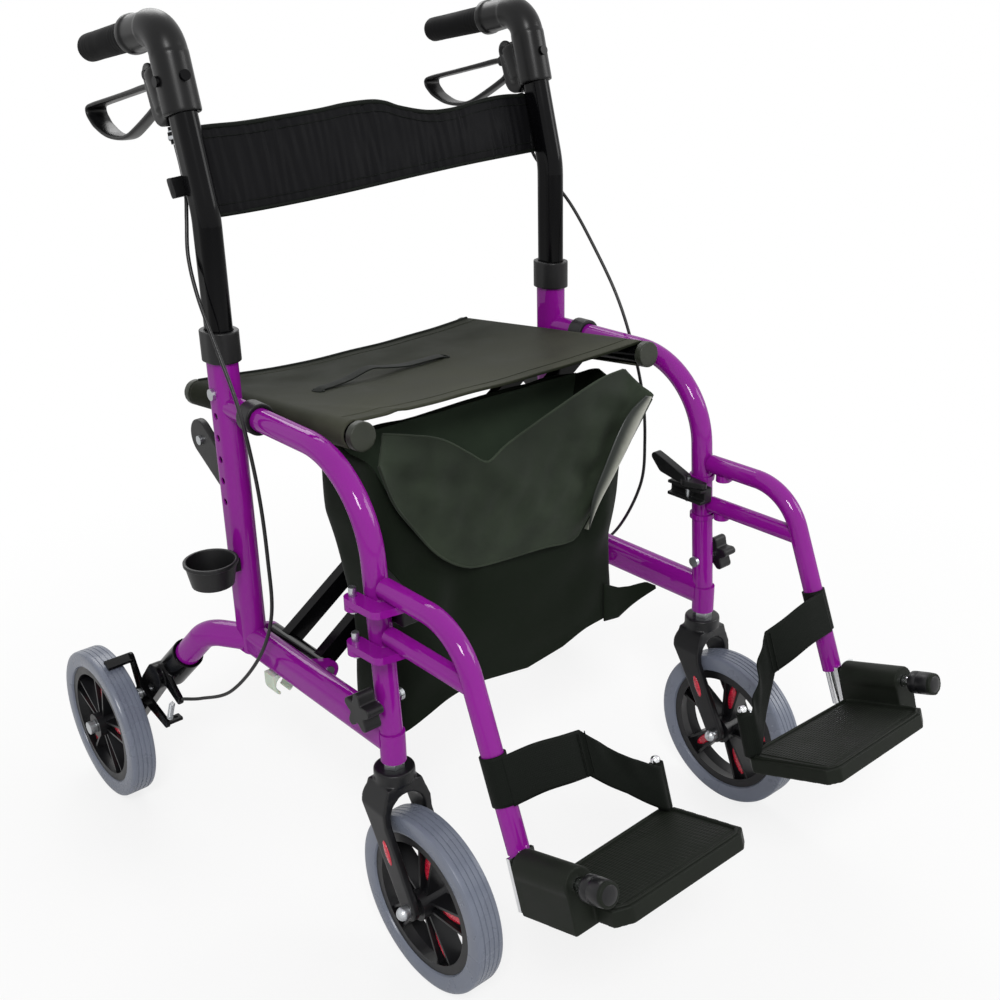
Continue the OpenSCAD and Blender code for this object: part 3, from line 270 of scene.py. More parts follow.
def make_finishes():
    """Makes each finish once; the comment before each says what the real one gives the eye."""
    dyes = bpy.context.scene.chair_colours
    tint = {key: tuple(getattr(dyes, key)) for key in ChairColours.__annotations__}
    shade = {key: (*(0.78 * np.array(value[:3])).tolist(), 1.0) for key, value in tint.items()}
    pair = {key: (shade[key], tint[key]) for key in tint}
    FINISHES.update({
        # Stoved powder coat on steel: deep even purple, a faint orange peel, sharp streaks of light
        "purple": mottled("powder_coat_purple", pair["frame_paint"], (0.3, 0.4), 2.4, 0.02, 80.0,
                          Specular_IOR_Level=0.0, Coat_Weight=0.6, Coat_Roughness=0.05),
        # Black enamel on steel tube: near black with one crisp streak
        "enamel": mottled("gloss_black_enamel", ("#050506", "#0A0A0C"), (0.12, 0.18), 2.8, 0.012, 70.0,
                          Specular_IOR_Level=0.1, Coat_Weight=0.05, Coat_Roughness=0.04),
        # Glass-filled nylon from a spark-eroded mould: charcoal with a fine matt grain
        "nylon": mottled("moulded_black_nylon", ("#101011", "#1A1A1B"), (0.36, 0.48), 0.9, 0.06, 35.0,
                         Specular_IOR_Level=0.3),
        # The same nylon from a smoother mould, on elbows and levers: blacker, with a soft streak of light
        "elbow": mottled("moulded_black_nylon_smooth", ("#09090A", "#111112"), (0.28, 0.38), 1.2, 0.04, 35.0,
                         Specular_IOR_Level=0.24),
        # Polypropylene footplates: matt, faintly green black
        "plate": mottled("moulded_green_black_polypropylene", ("#121511", "#1E221C"), (0.45, 0.58), 0.9, 0.06,
                         35.0, Specular_IOR_Level=0.12),
        # Polypropylene of the wheel rims and forks: black, a little smoother than the nylon
        "rim": mottled("moulded_black_polypropylene", ("#0D0D0E", "#17171A"), (0.3, 0.42), 1.4, 0.03, 40.0,
                       Specular_IOR_Level=0.32),
        # Thermoplastic rubber of the grips: soft black that scatters the light
        "rubber": mottled("thermoplastic_rubber", ("#0C0C0D", "#141415"), (0.55, 0.7), 0.7, 0.05, 25.0,
                          Specular_IOR_Level=0.06),
        # Cast polyurethane tyres: mid grey, smooth with a soft shine, a shade darker in drifts
        "tyre": mottled("cast_polyurethane_grey", pair["tyre"], (0.24, 0.34), 1.1, 0.02, 30.0,
                        Specular_IOR_Level=0.45),
        # Acrylic reflectors: clear red with bright grains
        "lens": prismatic("acrylic_reflector_red", (shade["reflector"], "#E0203F")),
        # Zinc plate on steel: pale grey metal, slightly cloudy
        "zinc": mottled("zinc_plated_steel", ("#A9ACB0", "#CDD0D3"), (0.26, 0.4), 0.6, 0.01, 12.0,
                        Metallic=1.0),
        # Chrome plate on rod: bright mirror with the faintest haze
        "chrome": mottled("chrome_plated_steel", ("#D5D7DA", "#ECEDEF"), (0.08, 0.16), 0.8, 0.005, 25.0,
                          Metallic=1.0),
        # PVC cover extruded over the brake cable: black with a soft shine
        "pvc": mottled("extruded_black_pvc", ("#0B0B0C", "#151516"), (0.3, 0.4), 1.2, 0.02, 30.0,
                       Specular_IOR_Level=0.35),
        # Oxford cloth on the bag's inner back: the bag's weave, painted paler as painted light where the seat
        # shades it
        "inner": woven("oxford_polyester_inner", ("#323D32", "#4A5746"), (0.62, 0.75), 1.4, 0.1, 40.0,
                       Specular_IOR_Level=0.1),
        # Natural nylon clip: milky green white
        "clip": mottled("natural_nylon", ("#BECDBB", "#D9E3D3"), (0.4, 0.5), 1.0, 0.03, 15.0,
                        Subsurface_Weight=0.15, Subsurface_Scale=0.004),
        # Moulded end caps: dark greenish grey, half matt
        "cap": mottled("moulded_charcoal_cap", ("#22251D", "#31352B"), (0.4, 0.5), 0.9, 0.04, 20.0,
                       Specular_IOR_Level=0.35),
        # PVC-coated nylon seat: close olive black weave, with a painted reflection that pales it towards the
        # front (threads drawn at 1.5 mm)
        "seat": woven("coated_nylon_seat", pair["seat_cloth"], (0.5, 0.62), 1.5, 0.12, 60.0,
                      (240, 0.72, 0.0, "#4E4F44"), Specular_IOR_Level=0.03),
        # Oxford polyester of the bag: soft dark weave with little shine (threads drawn at 1.4 mm)
        "bag": woven("oxford_polyester_bag", pair["bag_cloth"], (0.62, 0.75), 1.4, 0.1, 50.0,
                     Specular_IOR_Level=0.08, Sheen_Weight=0.03, Sheen_Roughness=0.5),
        # The same oxford cloth on the flap: a greener black, with painted light that pales it in patches
        # towards the hem
        "flap": woven("oxford_polyester_flap", ("#0D110C", "#1A2018"), (0.6, 0.72), 1.4, 0.1, 40.0,
                      (120, 0.3, 0.8, "#323B2E"),
                      Specular_IOR_Level=0.12, Sheen_Weight=0.05, Sheen_Roughness=0.5),
        # Gathered polyester of the back band: dark, with a dull shine along each gather
        "band": woven("gathered_polyester_band", pair["band_cloth"], (0.48, 0.6), 1.3, 0.08, 40.0,
                      Specular_IOR_Level=0.06, Sheen_Weight=0.01, Sheen_Roughness=0.4),
        # Woven nylon webbing: coarse ribs across a stiff flat strap
        "webbing": woven("nylon_webbing", ("#0B0E0B", "#171B17"), (0.55, 0.7), 2.0, 0.2, 30.0,
                         Specular_IOR_Level=0.08, Sheen_Weight=0.02, Sheen_Roughness=0.4),
        # Satin lining inside the bag's flap: near black, with a painted highlight that makes it pale grey
        # across the strip
        "lining": satin("coated_polyester_lining", ("#171D18", "#B9BCAE"), (0.32, 0.45), (4.0, 19.0, 25.0)),
    })


def reach(rows, axis, wrap):
    """Mean distance walked along one axis of a grid of points, with the closing step where it wraps."""
    ahead = np.roll(rows, -1, axis=axis) - rows
    steps = np.linalg.norm(ahead, axis=2).mean(axis=1 - axis)
    walked = np.concatenate([[0.0], np.cumsum(steps)])
    return walked if wrap else walked[:-1]


def skin(rows, wrap=(False, False), caps=False):
    """A grid of points in mm as vertices, quads and UVs in metres; caps closes the first and last ring."""
    rows = np.asarray(rows, float) * MM
    n, m = rows.shape[:2]
    i, j = np.meshgrid(np.arange(n - 1 + wrap[0]), np.arange(m - 1 + wrap[1]), indexing="ij")
    index = np.arange(n * m).reshape(n, m)
    down, over = (i + 1) % n, (j + 1) % m
    quads = np.stack([index[i, j], index[i, over], index[down, over], index[down, j]], -1).reshape(-1, 4)
    v, u = reach(rows, 0, wrap[0]), reach(rows, 1, wrap[1])
    corners = [np.stack([u[j + b], v[i + a]], -1) for a, b in ((0, 0), (0, 1), (1, 1), (1, 0))]
    uvs = np.stack(corners, 2).reshape(-1, 2)
    rings = []
    if caps:
        rings = [index[0][::-1].tolist(), index[-1].tolist()]
        uvs = np.concatenate([uvs, rows[0][::-1, :2], rows[-1][:, :2]])
    return rows.reshape(-1, 3), quads, rings, uvs


def tube(path, outline, across=(1.0, 0.0, 0.0), closed=False):
    """The skin of an outline carried along a path, its ends closed unless the path is."""
    return skin(sweep(path, outline, across, closed), (closed, True), not closed)


def piece(name, skins, finish, crease=40.0):
    """One object from skins: doubles merged, faces turned outwards, edges past crease degrees kept sharp."""
    base = np.cumsum([0] + [len(made[0]) for made in skins])
    points = np.concatenate([made[0] for made in skins])
    faces, uvs = [], []
    for start, (_, quads, rings, corners) in zip(base, skins):
        faces += (quads + start).tolist()
        faces += [(np.array(loop) + start).tolist() for loop in rings]
        uvs.append(corners)
    mesh = bpy.data.meshes.new(name)
    mesh.from_pydata(points.tolist(), [], faces)
    layer = mesh.uv_layers.new(name="cloth")
    layer.uv.foreach_set("vector", np.concatenate(uvs).astype(np.float32).ravel())
    shell = bmesh.new()
    shell.from_mesh(mesh)
    bmesh.ops.remove_doubles(shell, verts=shell.verts, dist=DOUBLES)
    bmesh.ops.recalc_face_normals(shell, faces=shell.faces)
    shell.to_mesh(mesh)
    shell.free()
    return shown(name, mesh, finish, crease)


def shown(name, mesh, finish, crease):
    """Links a mesh as an object with its finish, smooth but for edges past crease degrees."""
    mesh.shade_smooth()
    mesh.set_sharp_from_angle(angle=math.radians(crease))
    mesh.materials.clear()
    mesh.materials.append(FINISHES[finish])
    obj = bpy.data.objects.new(name, mesh)
    bpy.context.scene.collection.objects.link(obj)
    return obj


def settle(obj):
    """Replaces a piece's mesh by what its modifiers give."""
    graph = bpy.context.evaluated_depsgraph_get()
    mesh = bpy.data.meshes.new_from_object(obj.evaluated_get(graph))
    obj.modifiers.clear()
    obj.data = mesh
    return obj


def sheet(name, rows, finish, millimetres, wrap=(False, False), crease=70.0):
    """A cloth piece: the skin of a grid of points, thickened by the given amount, half to each side."""
    return thicken(piece(name, [skin(rows, wrap)], finish, crease), millimetres)


def thicken(obj, millimetres):
    """Gives a sheet its thickness, half to each side, and closes its rim."""
    wall = obj.modifiers.new("Thickness", "SOLIDIFY")
    wall.thickness = millimetres * MM
    wall.offset = 0.0
    return settle(obj)


def moulded(name, node, finish, voxel, rounds, body, skins=(), copied=True):
    """A solid's copy and any closed skins, fused on a voxel grid and eased as a mould rounds its edges."""
    joined = bmesh.new()
    if copied:
        joined.from_mesh(NODES[node].data)
    for points, quads, rings, _ in skins:
        drawn = bpy.data.meshes.new(name)
        drawn.from_pydata(points.tolist(), [], quads.tolist() + rings)
        joined.from_mesh(drawn)
        bpy.data.meshes.remove(drawn)
    bmesh.ops.remove_doubles(joined, verts=joined.verts, dist=DOUBLES)
    if skins:
        bmesh.ops.recalc_face_normals(joined, faces=joined.faces)
    mesh = bpy.data.meshes.new(name)
    joined.to_mesh(mesh)
    joined.free()
    rough = bpy.data.objects.new(name, mesh)
    bpy.context.scene.collection.objects.link(rough)
    grid = rough.modifiers.new("Fuse", "REMESH")
    grid.mode = "VOXEL"
    grid.voxel_size = voxel * MM
    ease = rough.modifiers.new("Ease", "SMOOTH")
    ease.factor = 0.5
    ease.iterations = rounds
    mesh = settle(rough).data
    bpy.data.objects.remove(rough)
    obj = shown(name, mesh, finish, 60.0)
    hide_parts(node)
    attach(obj, body)


def through(points, count, closed=False):
    """Evenly spaced points on a Catmull-Rom curve through the given points."""
    points = np.asarray(points, float)
    if closed:
        held = np.vstack([points[-1:], points, points[:2]])
    else:
        held = np.vstack([2 * points[0] - points[1], points, 2 * points[-1] - points[-2]])
    spans = len(held) - 3
    t = np.linspace(0, spans, spans * 24 + 1)
    k = np.minimum(t.astype(int), spans - 1)
    f = (t - k)[:, None]
    a, b, c, d = (held[k + i] for i in range(4))
    fine = 0.5 * (2 * b + (c - a) * f + (2 * a - 5 * b + 4 * c - d) * f ** 2
                  + (3 * b - a - 3 * c + d) * f ** 3)
    walked = np.concatenate([[0.0], np.cumsum(np.linalg.norm(np.diff(fine, axis=0), axis=1))])
    even = np.linspace(0, walked[-1], count, endpoint=not closed)
    return np.stack([np.interp(even, walked, fine[:, axis]) for axis in range(fine.shape[1])], 1)


def unit(vectors):
    """Vectors of length one."""
    return vectors / np.linalg.norm(vectors, axis=-1, keepdims=True)


def round_turn(sides):
    """Angles evenly spaced round a full turn."""
    return np.linspace(0, 2 * np.pi, sides, endpoint=False)


def ring(radius, sides):
    """A circle's outline of offsets, for one radius or one radius for each point of a path."""
    turn = round_turn(sides)
    return np.atleast_1d(radius)[:, None, None] * np.stack([np.cos(turn), np.sin(turn)], -1)[None]


def slab(width, height, power, sides):
    """A superellipse outline of the given full width and height; a high power gives a rounded rectangle."""
    turn = round_turn(sides)
    wave = np.stack([np.cos(turn), np.sin(turn)], -1)
    outline = np.sign(wave) * np.abs(wave) ** (2 / power)
    size = np.stack([np.atleast_1d(width), np.broadcast_to(height, np.shape(np.atleast_1d(width)))], -1)
    return 0.5 * size[:, None, :] * outline[None]


def sweep(path, outline, across, closed):
    """An outline carried along a path; its first offsets lie along across, squared to the path."""
    path = np.asarray(path, float)
    if closed:
        ahead = np.roll(path, -1, axis=0) - np.roll(path, 1, axis=0)
    else:
        ahead = np.gradient(path, axis=0)
    ahead = unit(ahead)
    side = np.broadcast_to(np.asarray(across, float), path.shape)
    side = unit(side - (side * ahead).sum(1, keepdims=True) * ahead)
    up = np.cross(side, ahead)
    return path[:, None] + outline[..., :1] * side[:, None] + outline[..., 1:] * up[:, None]


def rod(path, radius, sides=12, across=(1.0, 0.0, 0.0), closed=False):
    """A round rod along a path."""
    return tube(path, ring(radius, sides), across, closed)


def turned(profile, origin, axis, sides, closed=False):
    """A profile of distances along an axis and radii from it, turned round that axis."""
    profile = np.asarray(profile, float)
    axis = unit(np.asarray(axis, float))
    first = unit(np.cross(axis, (0.0, 0.3, 1.0)))
    second = np.cross(axis, first)
    turn = round_turn(sides)[:, None]
    spoke = np.cos(turn) * first + np.sin(turn) * second
    rows = np.asarray(origin) + profile[:, None, :1] * axis + profile[:, None, 1:] * spoke[None]
    return skin(rows, (closed, True))


def ripple(u, v, seed, count, shortest, longest):
    """Sine waves at seeded angles, lengths and phases, averaged: the gentle unevenness of slack cloth."""
    draw = np.random.default_rng(seed)
    angle = draw.uniform(0, np.pi, count)
    wave = draw.uniform(shortest, longest, count)
    phase = draw.uniform(0, 2 * np.pi, count)
    along = u[..., None] * np.cos(angle) + v[..., None] * np.sin(angle)
    return np.sin(2 * np.pi * along / wave + phase).mean(-1)


def hump(distance, width):
    """A smooth rise to one where the distance is nought, gone within about two widths."""
    return np.exp(-(distance / width) ** 2)


def ramp(value, start, length):
    """A rise from nought at start to one after the length."""
    return np.clip((value - start) / length, 0, 1)


def lens(centre, long_way, face, length, width, rise):
    """A domed oval: rings that shrink to the middle, risen by a paraboloid above its face."""
    long_way, face = unit(np.asarray(long_way, float)), unit(np.asarray(face, float))
    short_way = np.cross(face, long_way)
    turn = round_turn(28)
    share = np.array([1.0, 1.0, 0.92, 0.7, 0.4, 0.0])[:, None]
    lift = np.array([-1.0, 0.35, 0.6, 0.82, 0.95, 1.0])[:, None] * rise
    oval = 0.5 * share * (length * np.cos(turn))
    rows = np.asarray(centre) + oval[..., None] * long_way
    rows = rows + (0.5 * share * width * np.sin(turn))[..., None] * short_way + lift[..., None] * face
    return skin(rows, (False, True))


def mirrored(points, way):
    """Points of the left side, or the same points mirrored to the right."""
    return np.asarray(points, float) * (way, 1.0, 1.0)


def tilted(place, tilt, x, along, above):
    """Points across, back along a plane that dips by tilt, and square to it, from a place given as (y, z)."""
    y = place[0] + along * math.cos(tilt) + above * math.sin(tilt)
    z = place[1] - along * math.sin(tilt) + above * math.cos(tilt)
    return np.stack(np.broadcast_arrays(x, y, z), -1)


def seat_frame(x, along, above):
    """Points on the sloping seat: across, back along the seat tubes, and square to them."""
    return tilted(SEAT_AT, SEAT_SLOPE, x, along, above)


def push_frame(x, back, up):
    """Points on the leaning push tubes: across, behind the tube's middle, and up along it."""
    return tilted(PUSH_AT, PUSH_TILT, x, back, up)


def plate_frame(x, forward, above):
    """Points on a footplate: outwards of its hinge, forward along it, and square to it."""
    return tilted(FLIP_AT[1:], PLATE_PITCH, FLIP_AT[0] + x, -forward, above)


def paint_solids():
    """Gives each CAD solid that stays in sight the finish of what it is made from."""
    finish_of = {
        "side_frame": "purple", "hanger": "purple", "push_tube": "enamel", "frame_hardware": "zinc",
        "handle_hardware": "enamel", "brake_arm": "enamel", "caster_hardware": "zinc",
        "footrest_leg": "chrome", "rear_rim": "rim", "front_rim": "rim", "cross_leg_a": "enamel",
        "cross_leg_b": "enamel", "cross_bolts": "zinc",
    }
    for name, node in NODES.items():
        kind = name.removeprefix("right_").removeprefix("left_")
        finish = FINISHES[finish_of.get(kind, "nylon")]
        for held in node.material_slots:
            held.material = finish


def make_tyres():
    """Square-shouldered tyres with four grooves, turned about each hub, and reflectors on the spokes."""
    shoulder = [(13.4, 79.2), (15.6, 80.6), (16.5, 83.4), (16.5, 95.2), (16.1, 97.4), (15.0, 99.1),
                (13.0, 99.9)]
    tread_r, groove_r = 100.0, 99.2
    groove_lip, groove_floor = 0.9, 0.45
    section = list(shoulder)
    for groove in (9.0, 3.0, -3.0, -9.0):
        section += [(groove + groove_lip, tread_r), (groove + groove_floor, groove_r),
                    (groove - groove_floor, groove_r), (groove - groove_lip, tread_r)]
    section += [(-along, radius) for along, radius in reversed(shoulder)]
    spokes = np.radians(SPOKE_START + 360 / SPOKES * np.arange(SPOKES))
    lens_r, lens_x = 47, 5.2
    for side, way in SIDES.items():
        for end, hub in (("rear", REAR_HUB), ("front", FRONT_HUB)):
            centre = mirrored(hub, way)
            lenses = []
            for turn in spokes:
                out = np.array([0.0, math.cos(turn), math.sin(turn)])
                for face in (1.0, -1.0):
                    at = centre + out * lens_r + np.array([face * lens_x, 0, 0])
                    lenses.append(lens(at, out, (face, 0, 0), length=36, width=11, rise=2.2))
            tread = turned(section, centre, (1, 0, 0), 120, True)
            tyre = piece(f"{side}_{end}_grey_tyre", [tread], "tyre", 35.0)
            reflectors = piece(f"{side}_{end}_spoke_reflectors", lenses, "lens", 50.0)
            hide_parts(f"{side}_{end}_tyre")
            for obj in (tyre, reflectors):
                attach(obj, f"{side}_{end}_wheel")


def make_casters():
    """Caster forks with rounded mould edges and a reflector on each face of a fork."""
    lens_x, lens_y, lens_z = 30.8, -160, 157
    for side, way in SIDES.items():
        body = f"{side}_caster"
        moulded(f"{side}_moulded_fork", f"{side}_caster_fork", "rim", 0.9, 26, body)
        legs = []
        for face in (1.0, -1.0):
            at = mirrored((FRAME_X + face * lens_x, lens_y, lens_z), way)
            legs.append(lens(at, LEG_WAY, (face * way, 0, 0), length=28, width=8, rise=1.6))
        reflectors = piece(f"{side}_fork_reflectors", legs, "lens", 50.0)
        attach(reflectors, body)


def make_handles():
    """Elbow housings with a lever boss, loop levers, cable adjusters and ringed rubber grips."""
    grip = np.array([
        (0, 15), (0.6, 17.2), (4, 17.2), (5, 16.4), (6, 15.8), (14, 15.7), (20, 15.6), (30, 15.6), (60, 15.4),
        (90, 15.2), (104, 15.4), (111, 15.2), (115, 13.6), (117.4, 9), (118, 0)], float)
    walk = np.interp(np.linspace(0, 1, 150), np.linspace(0, 1, len(grip)), grip[:, 0])
    wall = np.interp(walk, grip[:, 0], grip[:, 1])
    ring_pitch, ring_depth = 6.5, 0.07
    wall = wall + ring_depth * np.sin(2 * np.pi * walk / ring_pitch) * ((walk > 10) & (walk < 104))
    loop = through([
        (50, 138), (64, 141.6), (100, 144.2), (150, 148), (192, 151.2), (206, 150.6), (208.4, 144),
        (204, 136), (196, 127), (176, 114), (152, 106.2), (130, 103.6), (104, 107), (66, 114.6),
        (51, 119.4), (47, 128)], 220, True)
    paddle = np.interp(loop[:, 0], [48, 120, 180, 208], [12.5, 17, 23, 26])
    thick = np.interp(loop[:, 0], [48, 120, 190, 208], [7.2, 6.0, 5.6, 5.0])
    stem = np.stack([np.linspace(34, 58, 12), np.linspace(147, 138, 12)], 1)
    knuckle = [(-6.8, 0), (-6.8, 8.0), (-5.8, 9.0), (5.8, 9.0), (6.8, 8.0), (6.8, 0)]
    boss = np.linspace(0, 1, 14)
    boss_path = np.stack([19 + 10 * boss, 106 + 48 * boss], 1)
    boss_wide = 34 * np.sqrt(np.clip(np.sin(np.pi * (0.06 + 0.88 * boss)) * 3, 0.1, 1))
    nut = [(-5, 0), (-5, 5.2), (-4.2, 6.0), (-1.2, 6.0), (-0.4, 4.6), (4.2, 4.6), (5, 3.8), (5, 0)]
    grip_way = np.array([0, math.cos(GRIP_DIP), -math.sin(GRIP_DIP)])
    grip_start = 72
    for side, way in SIDES.items():
        body = f"{side}_handle"
        boss_at, loop_at, stem_at, pin, nut_at = (
            mirrored(push_frame(FRAME_X, *np.transpose(points)), way)
            for points in (boss_path, loop, stem, (34.0, 148.0), (32.0, 86.0)))
        moulded(f"{side}_elbow_housing", f"{side}_handle_housing", "elbow", 0.9, 36, body,
                [tube(boss_at, slab(boss_wide, 0.86 * boss_wide, 2.6, 32))])
        lever = [tube(loop_at, slab(paddle, thick, 3.2, 24), closed=True),
                 tube(stem_at, slab(np.full(len(stem), 13.2), 11.5, 4, 24)),
                 turned(knuckle, pin, (1, 0, 0), 32)]
        moulded(f"{side}_loop_lever", f"{side}_brake_lever", "elbow", 0.8, 5,
                f"{side}_lever", lever, copied=False)
        barrel = turned(nut, nut_at, PUSH_UP, 24)
        adjuster = piece(f"{side}_cable_adjuster", [barrel], "zinc", 35.0)
        start = mirrored(GRIP_AT, way) + grip_start * grip_way
        shell = turned(np.stack([walk, wall], 1), start, grip_way, 48)
        rubber = piece(f"{side}_rubber_grip", [shell], "rubber", 60.0)
        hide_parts(f"{side}_hand_grip")
        for obj in (adjuster, rubber):
            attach(obj, body)


def make_cables():
    """Brake cables: round covers along a smooth curve through the route of the source."""
    cover_r = 2.1
    for side, way in SIDES.items():
        path = through(mirrored(CABLES[side], way), 180)
        obj = piece(f"{side}_cable_cover", [rod(path, cover_r)], "pvc", 60.0)
        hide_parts(f"{side}_brake_cable")
        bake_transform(obj)


def make_seat():
    """The seat: cloth sewn round both seat tubes, dipped between them, with piping, hem and a pull strap."""
    sizes = bpy.context.scene.chair_sizes
    sag = sizes.seat_sag / MM
    front, length, wrapped = -142, 331, 218
    front_bow, rear_bow, crease_high = 7, 9, 1.6
    wrap = np.radians(np.linspace(wrapped, 0, 24))
    round_x, round_z = SLEEVE_R * np.sin(wrap), SLEEVE_R * np.cos(wrap)
    span = np.linspace(-SEAT_X, SEAT_X, 90)[1:-1]
    x = np.concatenate([-SEAT_X - round_x, span, (SEAT_X + round_x)[::-1]])
    above = np.concatenate([round_z, np.full(len(span), SLEEVE_R), round_z[::-1]])
    middle = np.clip(1 - (x / SEAT_X) ** 2, 0, 1) * (above > SLEEVE_R - 0.01)
    t = np.linspace(0, 1, 76)[:, None]
    along = front + length * t + middle * (front_bow * (1 - t) ** 6 - rear_bow * t ** 6)
    flat_x = np.broadcast_to(x, along.shape)
    dip = middle * sag * (0.75 + 0.25 * np.sin(np.pi * t))
    creases = ripple(flat_x, along, 4, 7, 70, 190) * crease_high * np.sqrt(middle)
    behind = along - front
    pull = 2.2 * hump(flat_x + 150 + 0.45 * behind, 9) * np.exp(-behind / 70) * middle ** 0.3
    rows = seat_frame(flat_x, along, above - dip + creases + pull)
    cloth = sheet("seat_cloth", rows, "seat", sizes.cloth / MM, crease=60.0)
    top = slice(len(wrap) - 1, 1 - len(wrap))
    rear_edge, front_edge = rows[-1, top] + (0, 0.5, -0.4), rows[0, top] + (0, -0.2, -0.6)
    cord = piece("seat_rear_piping", [rod(rear_edge, 3.4, 12, UPRIGHT)], "webbing", 60.0)
    fold = tube(front_edge, slab(2.8, 3.2, 3, 12), UPRIGHT)
    hem = piece("seat_front_hem", [fold], "seat", 60.0)
    stitches = [rod(rows[row, top] + (0, 0, 0.8), 0.45, 6, UPRIGHT) for row in (5, 70)]
    thread = piece("seat_stitch_lines", stitches, "seat", 60.0)
    strap, eyes = pull_strap(sag)
    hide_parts("seat_sling")
    for obj in (cloth, cord, hem, thread, strap, eyes):
        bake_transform(obj)


def pull_strap(sag):
    """The strap that lifts the seat to fold the chair, and the eyelets that its ends pass through."""

    def ground(x):
        """Height of the dipped cloth over the middle of the seat tubes."""
        return SLEEVE_R - sag * 0.95 * (1 - (x / SEAT_X) ** 2)

    arch = through([(-150, -2.0), (-142, 1.4), (-124, 2.2), (-98, 4.5), (-66, 10.5), (-42, 7.0),
                    (-10, 2.6), (24, 2.0), (46, 1.4), (55, -2.0)], 70)
    lane = np.interp(arch[:, 0], [-150, -105, -50, 13, 55], [18, 29, 38, 42, 45])
    path = seat_frame(arch[:, 0], lane, ground(arch[:, 0]) + arch[:, 1] + 1.5)
    band = tube(path, slab(14, 1.8, 6, 16), (0, 1, 0))
    strap = piece("seat_pull_strap", [band], "webbing", 50.0)
    turn = round_turn(36)
    rims = []
    for x, along in ((-147, 19), (52, 45)):
        rim = seat_frame(x + 4.5 * np.cos(turn), along + 10 * np.sin(turn), ground(x) + 1.0 + 0 * turn)
        rims.append(rod(rim, 1.2, 8, UPRIGHT, True))
    eyes = piece("seat_strap_eyelets", rims, "webbing", 60.0)
    return strap, eyes


def make_back_band():
    """The back band: gathered cloth between a wavy piped top edge and a hem, over a thin pad."""
    gather = bpy.context.scene.chair_sizes.gather / MM
    behind, half_thick = 22, 3.4
    crest = through([(-262, 88), (-204, 89), (-167, 89), (-118, 91.5), (-68, 94.5), (-33, 98), (3, 99),
                     (24, 96), (44, 89), (83, 81), (122, 81), (164, 87), (207, 90), (262, 87)], 300)
    foot = through([(-262, -2), (-212, -2), (-148, -0.5), (-57, 4), (55, 12), (135, 17), (227, 21),
                    (262, 22)], 300)
    x = np.linspace(-246, 246, 420)
    top, low = (np.interp(x, edge[:, 0], edge[:, 1]) for edge in (crest, foot))
    turn = round_turn(72)[:, None]
    face = np.cos(turn)
    share = 0.5 - 0.5 * np.sin(turn)
    up = low + (top - low) * (1 - share)
    wide = np.broadcast_to(x, up.shape)
    pinch = 0.45 + 0.55 * np.abs(np.cos(np.pi * share)) ** 0.7
    close = ripple(wide, 0.16 * up, 12, 11, 7.5, 19) * (0.7 + 0.6 * ripple(wide, 0.5 * up, 31, 4, 60, 140))
    deep = gather * pinch * (2.0 * close + 0.8 * ripple(wide, 0.5 * up, 9, 6, 40, 120))
    back = behind + half_thick * np.sign(face) * np.abs(face) ** 0.6 + deep * 0.9
    rows = np.swapaxes(push_frame(wide, back, up), 0, 1)
    band = piece("back_band", [skin(rows, (False, True), True)], "band", 60.0)
    trim = []
    for height, depth, radius, sides in ((top, behind, 3.0, 12), (low, behind, 2.4, 12),
                                         (top - 11, 18.4, 0.4, 6), (low + 10, 18.4, 0.4, 6)):
        trim.append(rod(push_frame(x, depth + 0 * x, height), radius, sides, (0, 1, 0)))
    piping = piece("back_band_piping", trim, "webbing", 60.0)
    swell = np.sqrt(np.clip(np.sin(np.linspace(0.04, np.pi - 0.04, 24)) * 6, 0.02, 1))
    blocks = []
    for end in (-1, 1):
        path = push_frame(end * np.linspace(234, 267, 24), np.linspace(23, 18, 24), np.linspace(34, 31, 24))
        blocks.append(tube(path, slab(21 * swell, 9 * swell, 5, 24), PUSH_UP))
    ends = piece("back_band_end_blocks", blocks, "nylon", 50.0)
    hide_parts("backrest")
    for obj in (band, piping, ends):
        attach(obj, "right_handle")
        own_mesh(obj)


def make_bag():
    """The bag: its shell, an inner panel painted paler as painted light, the corner tab, and the flap with
    its binding and a lining with a painted highlight.
    """
    shell = bag_shell()
    inside = bag_inner_panel()
    lid, hem = bag_flap()
    lining = bag_lining()
    tab = bag_tab()
    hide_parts("bag")
    for obj in (shell, inside, lid, hem, lining, tab):
        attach(obj, "bag")
        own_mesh(obj)


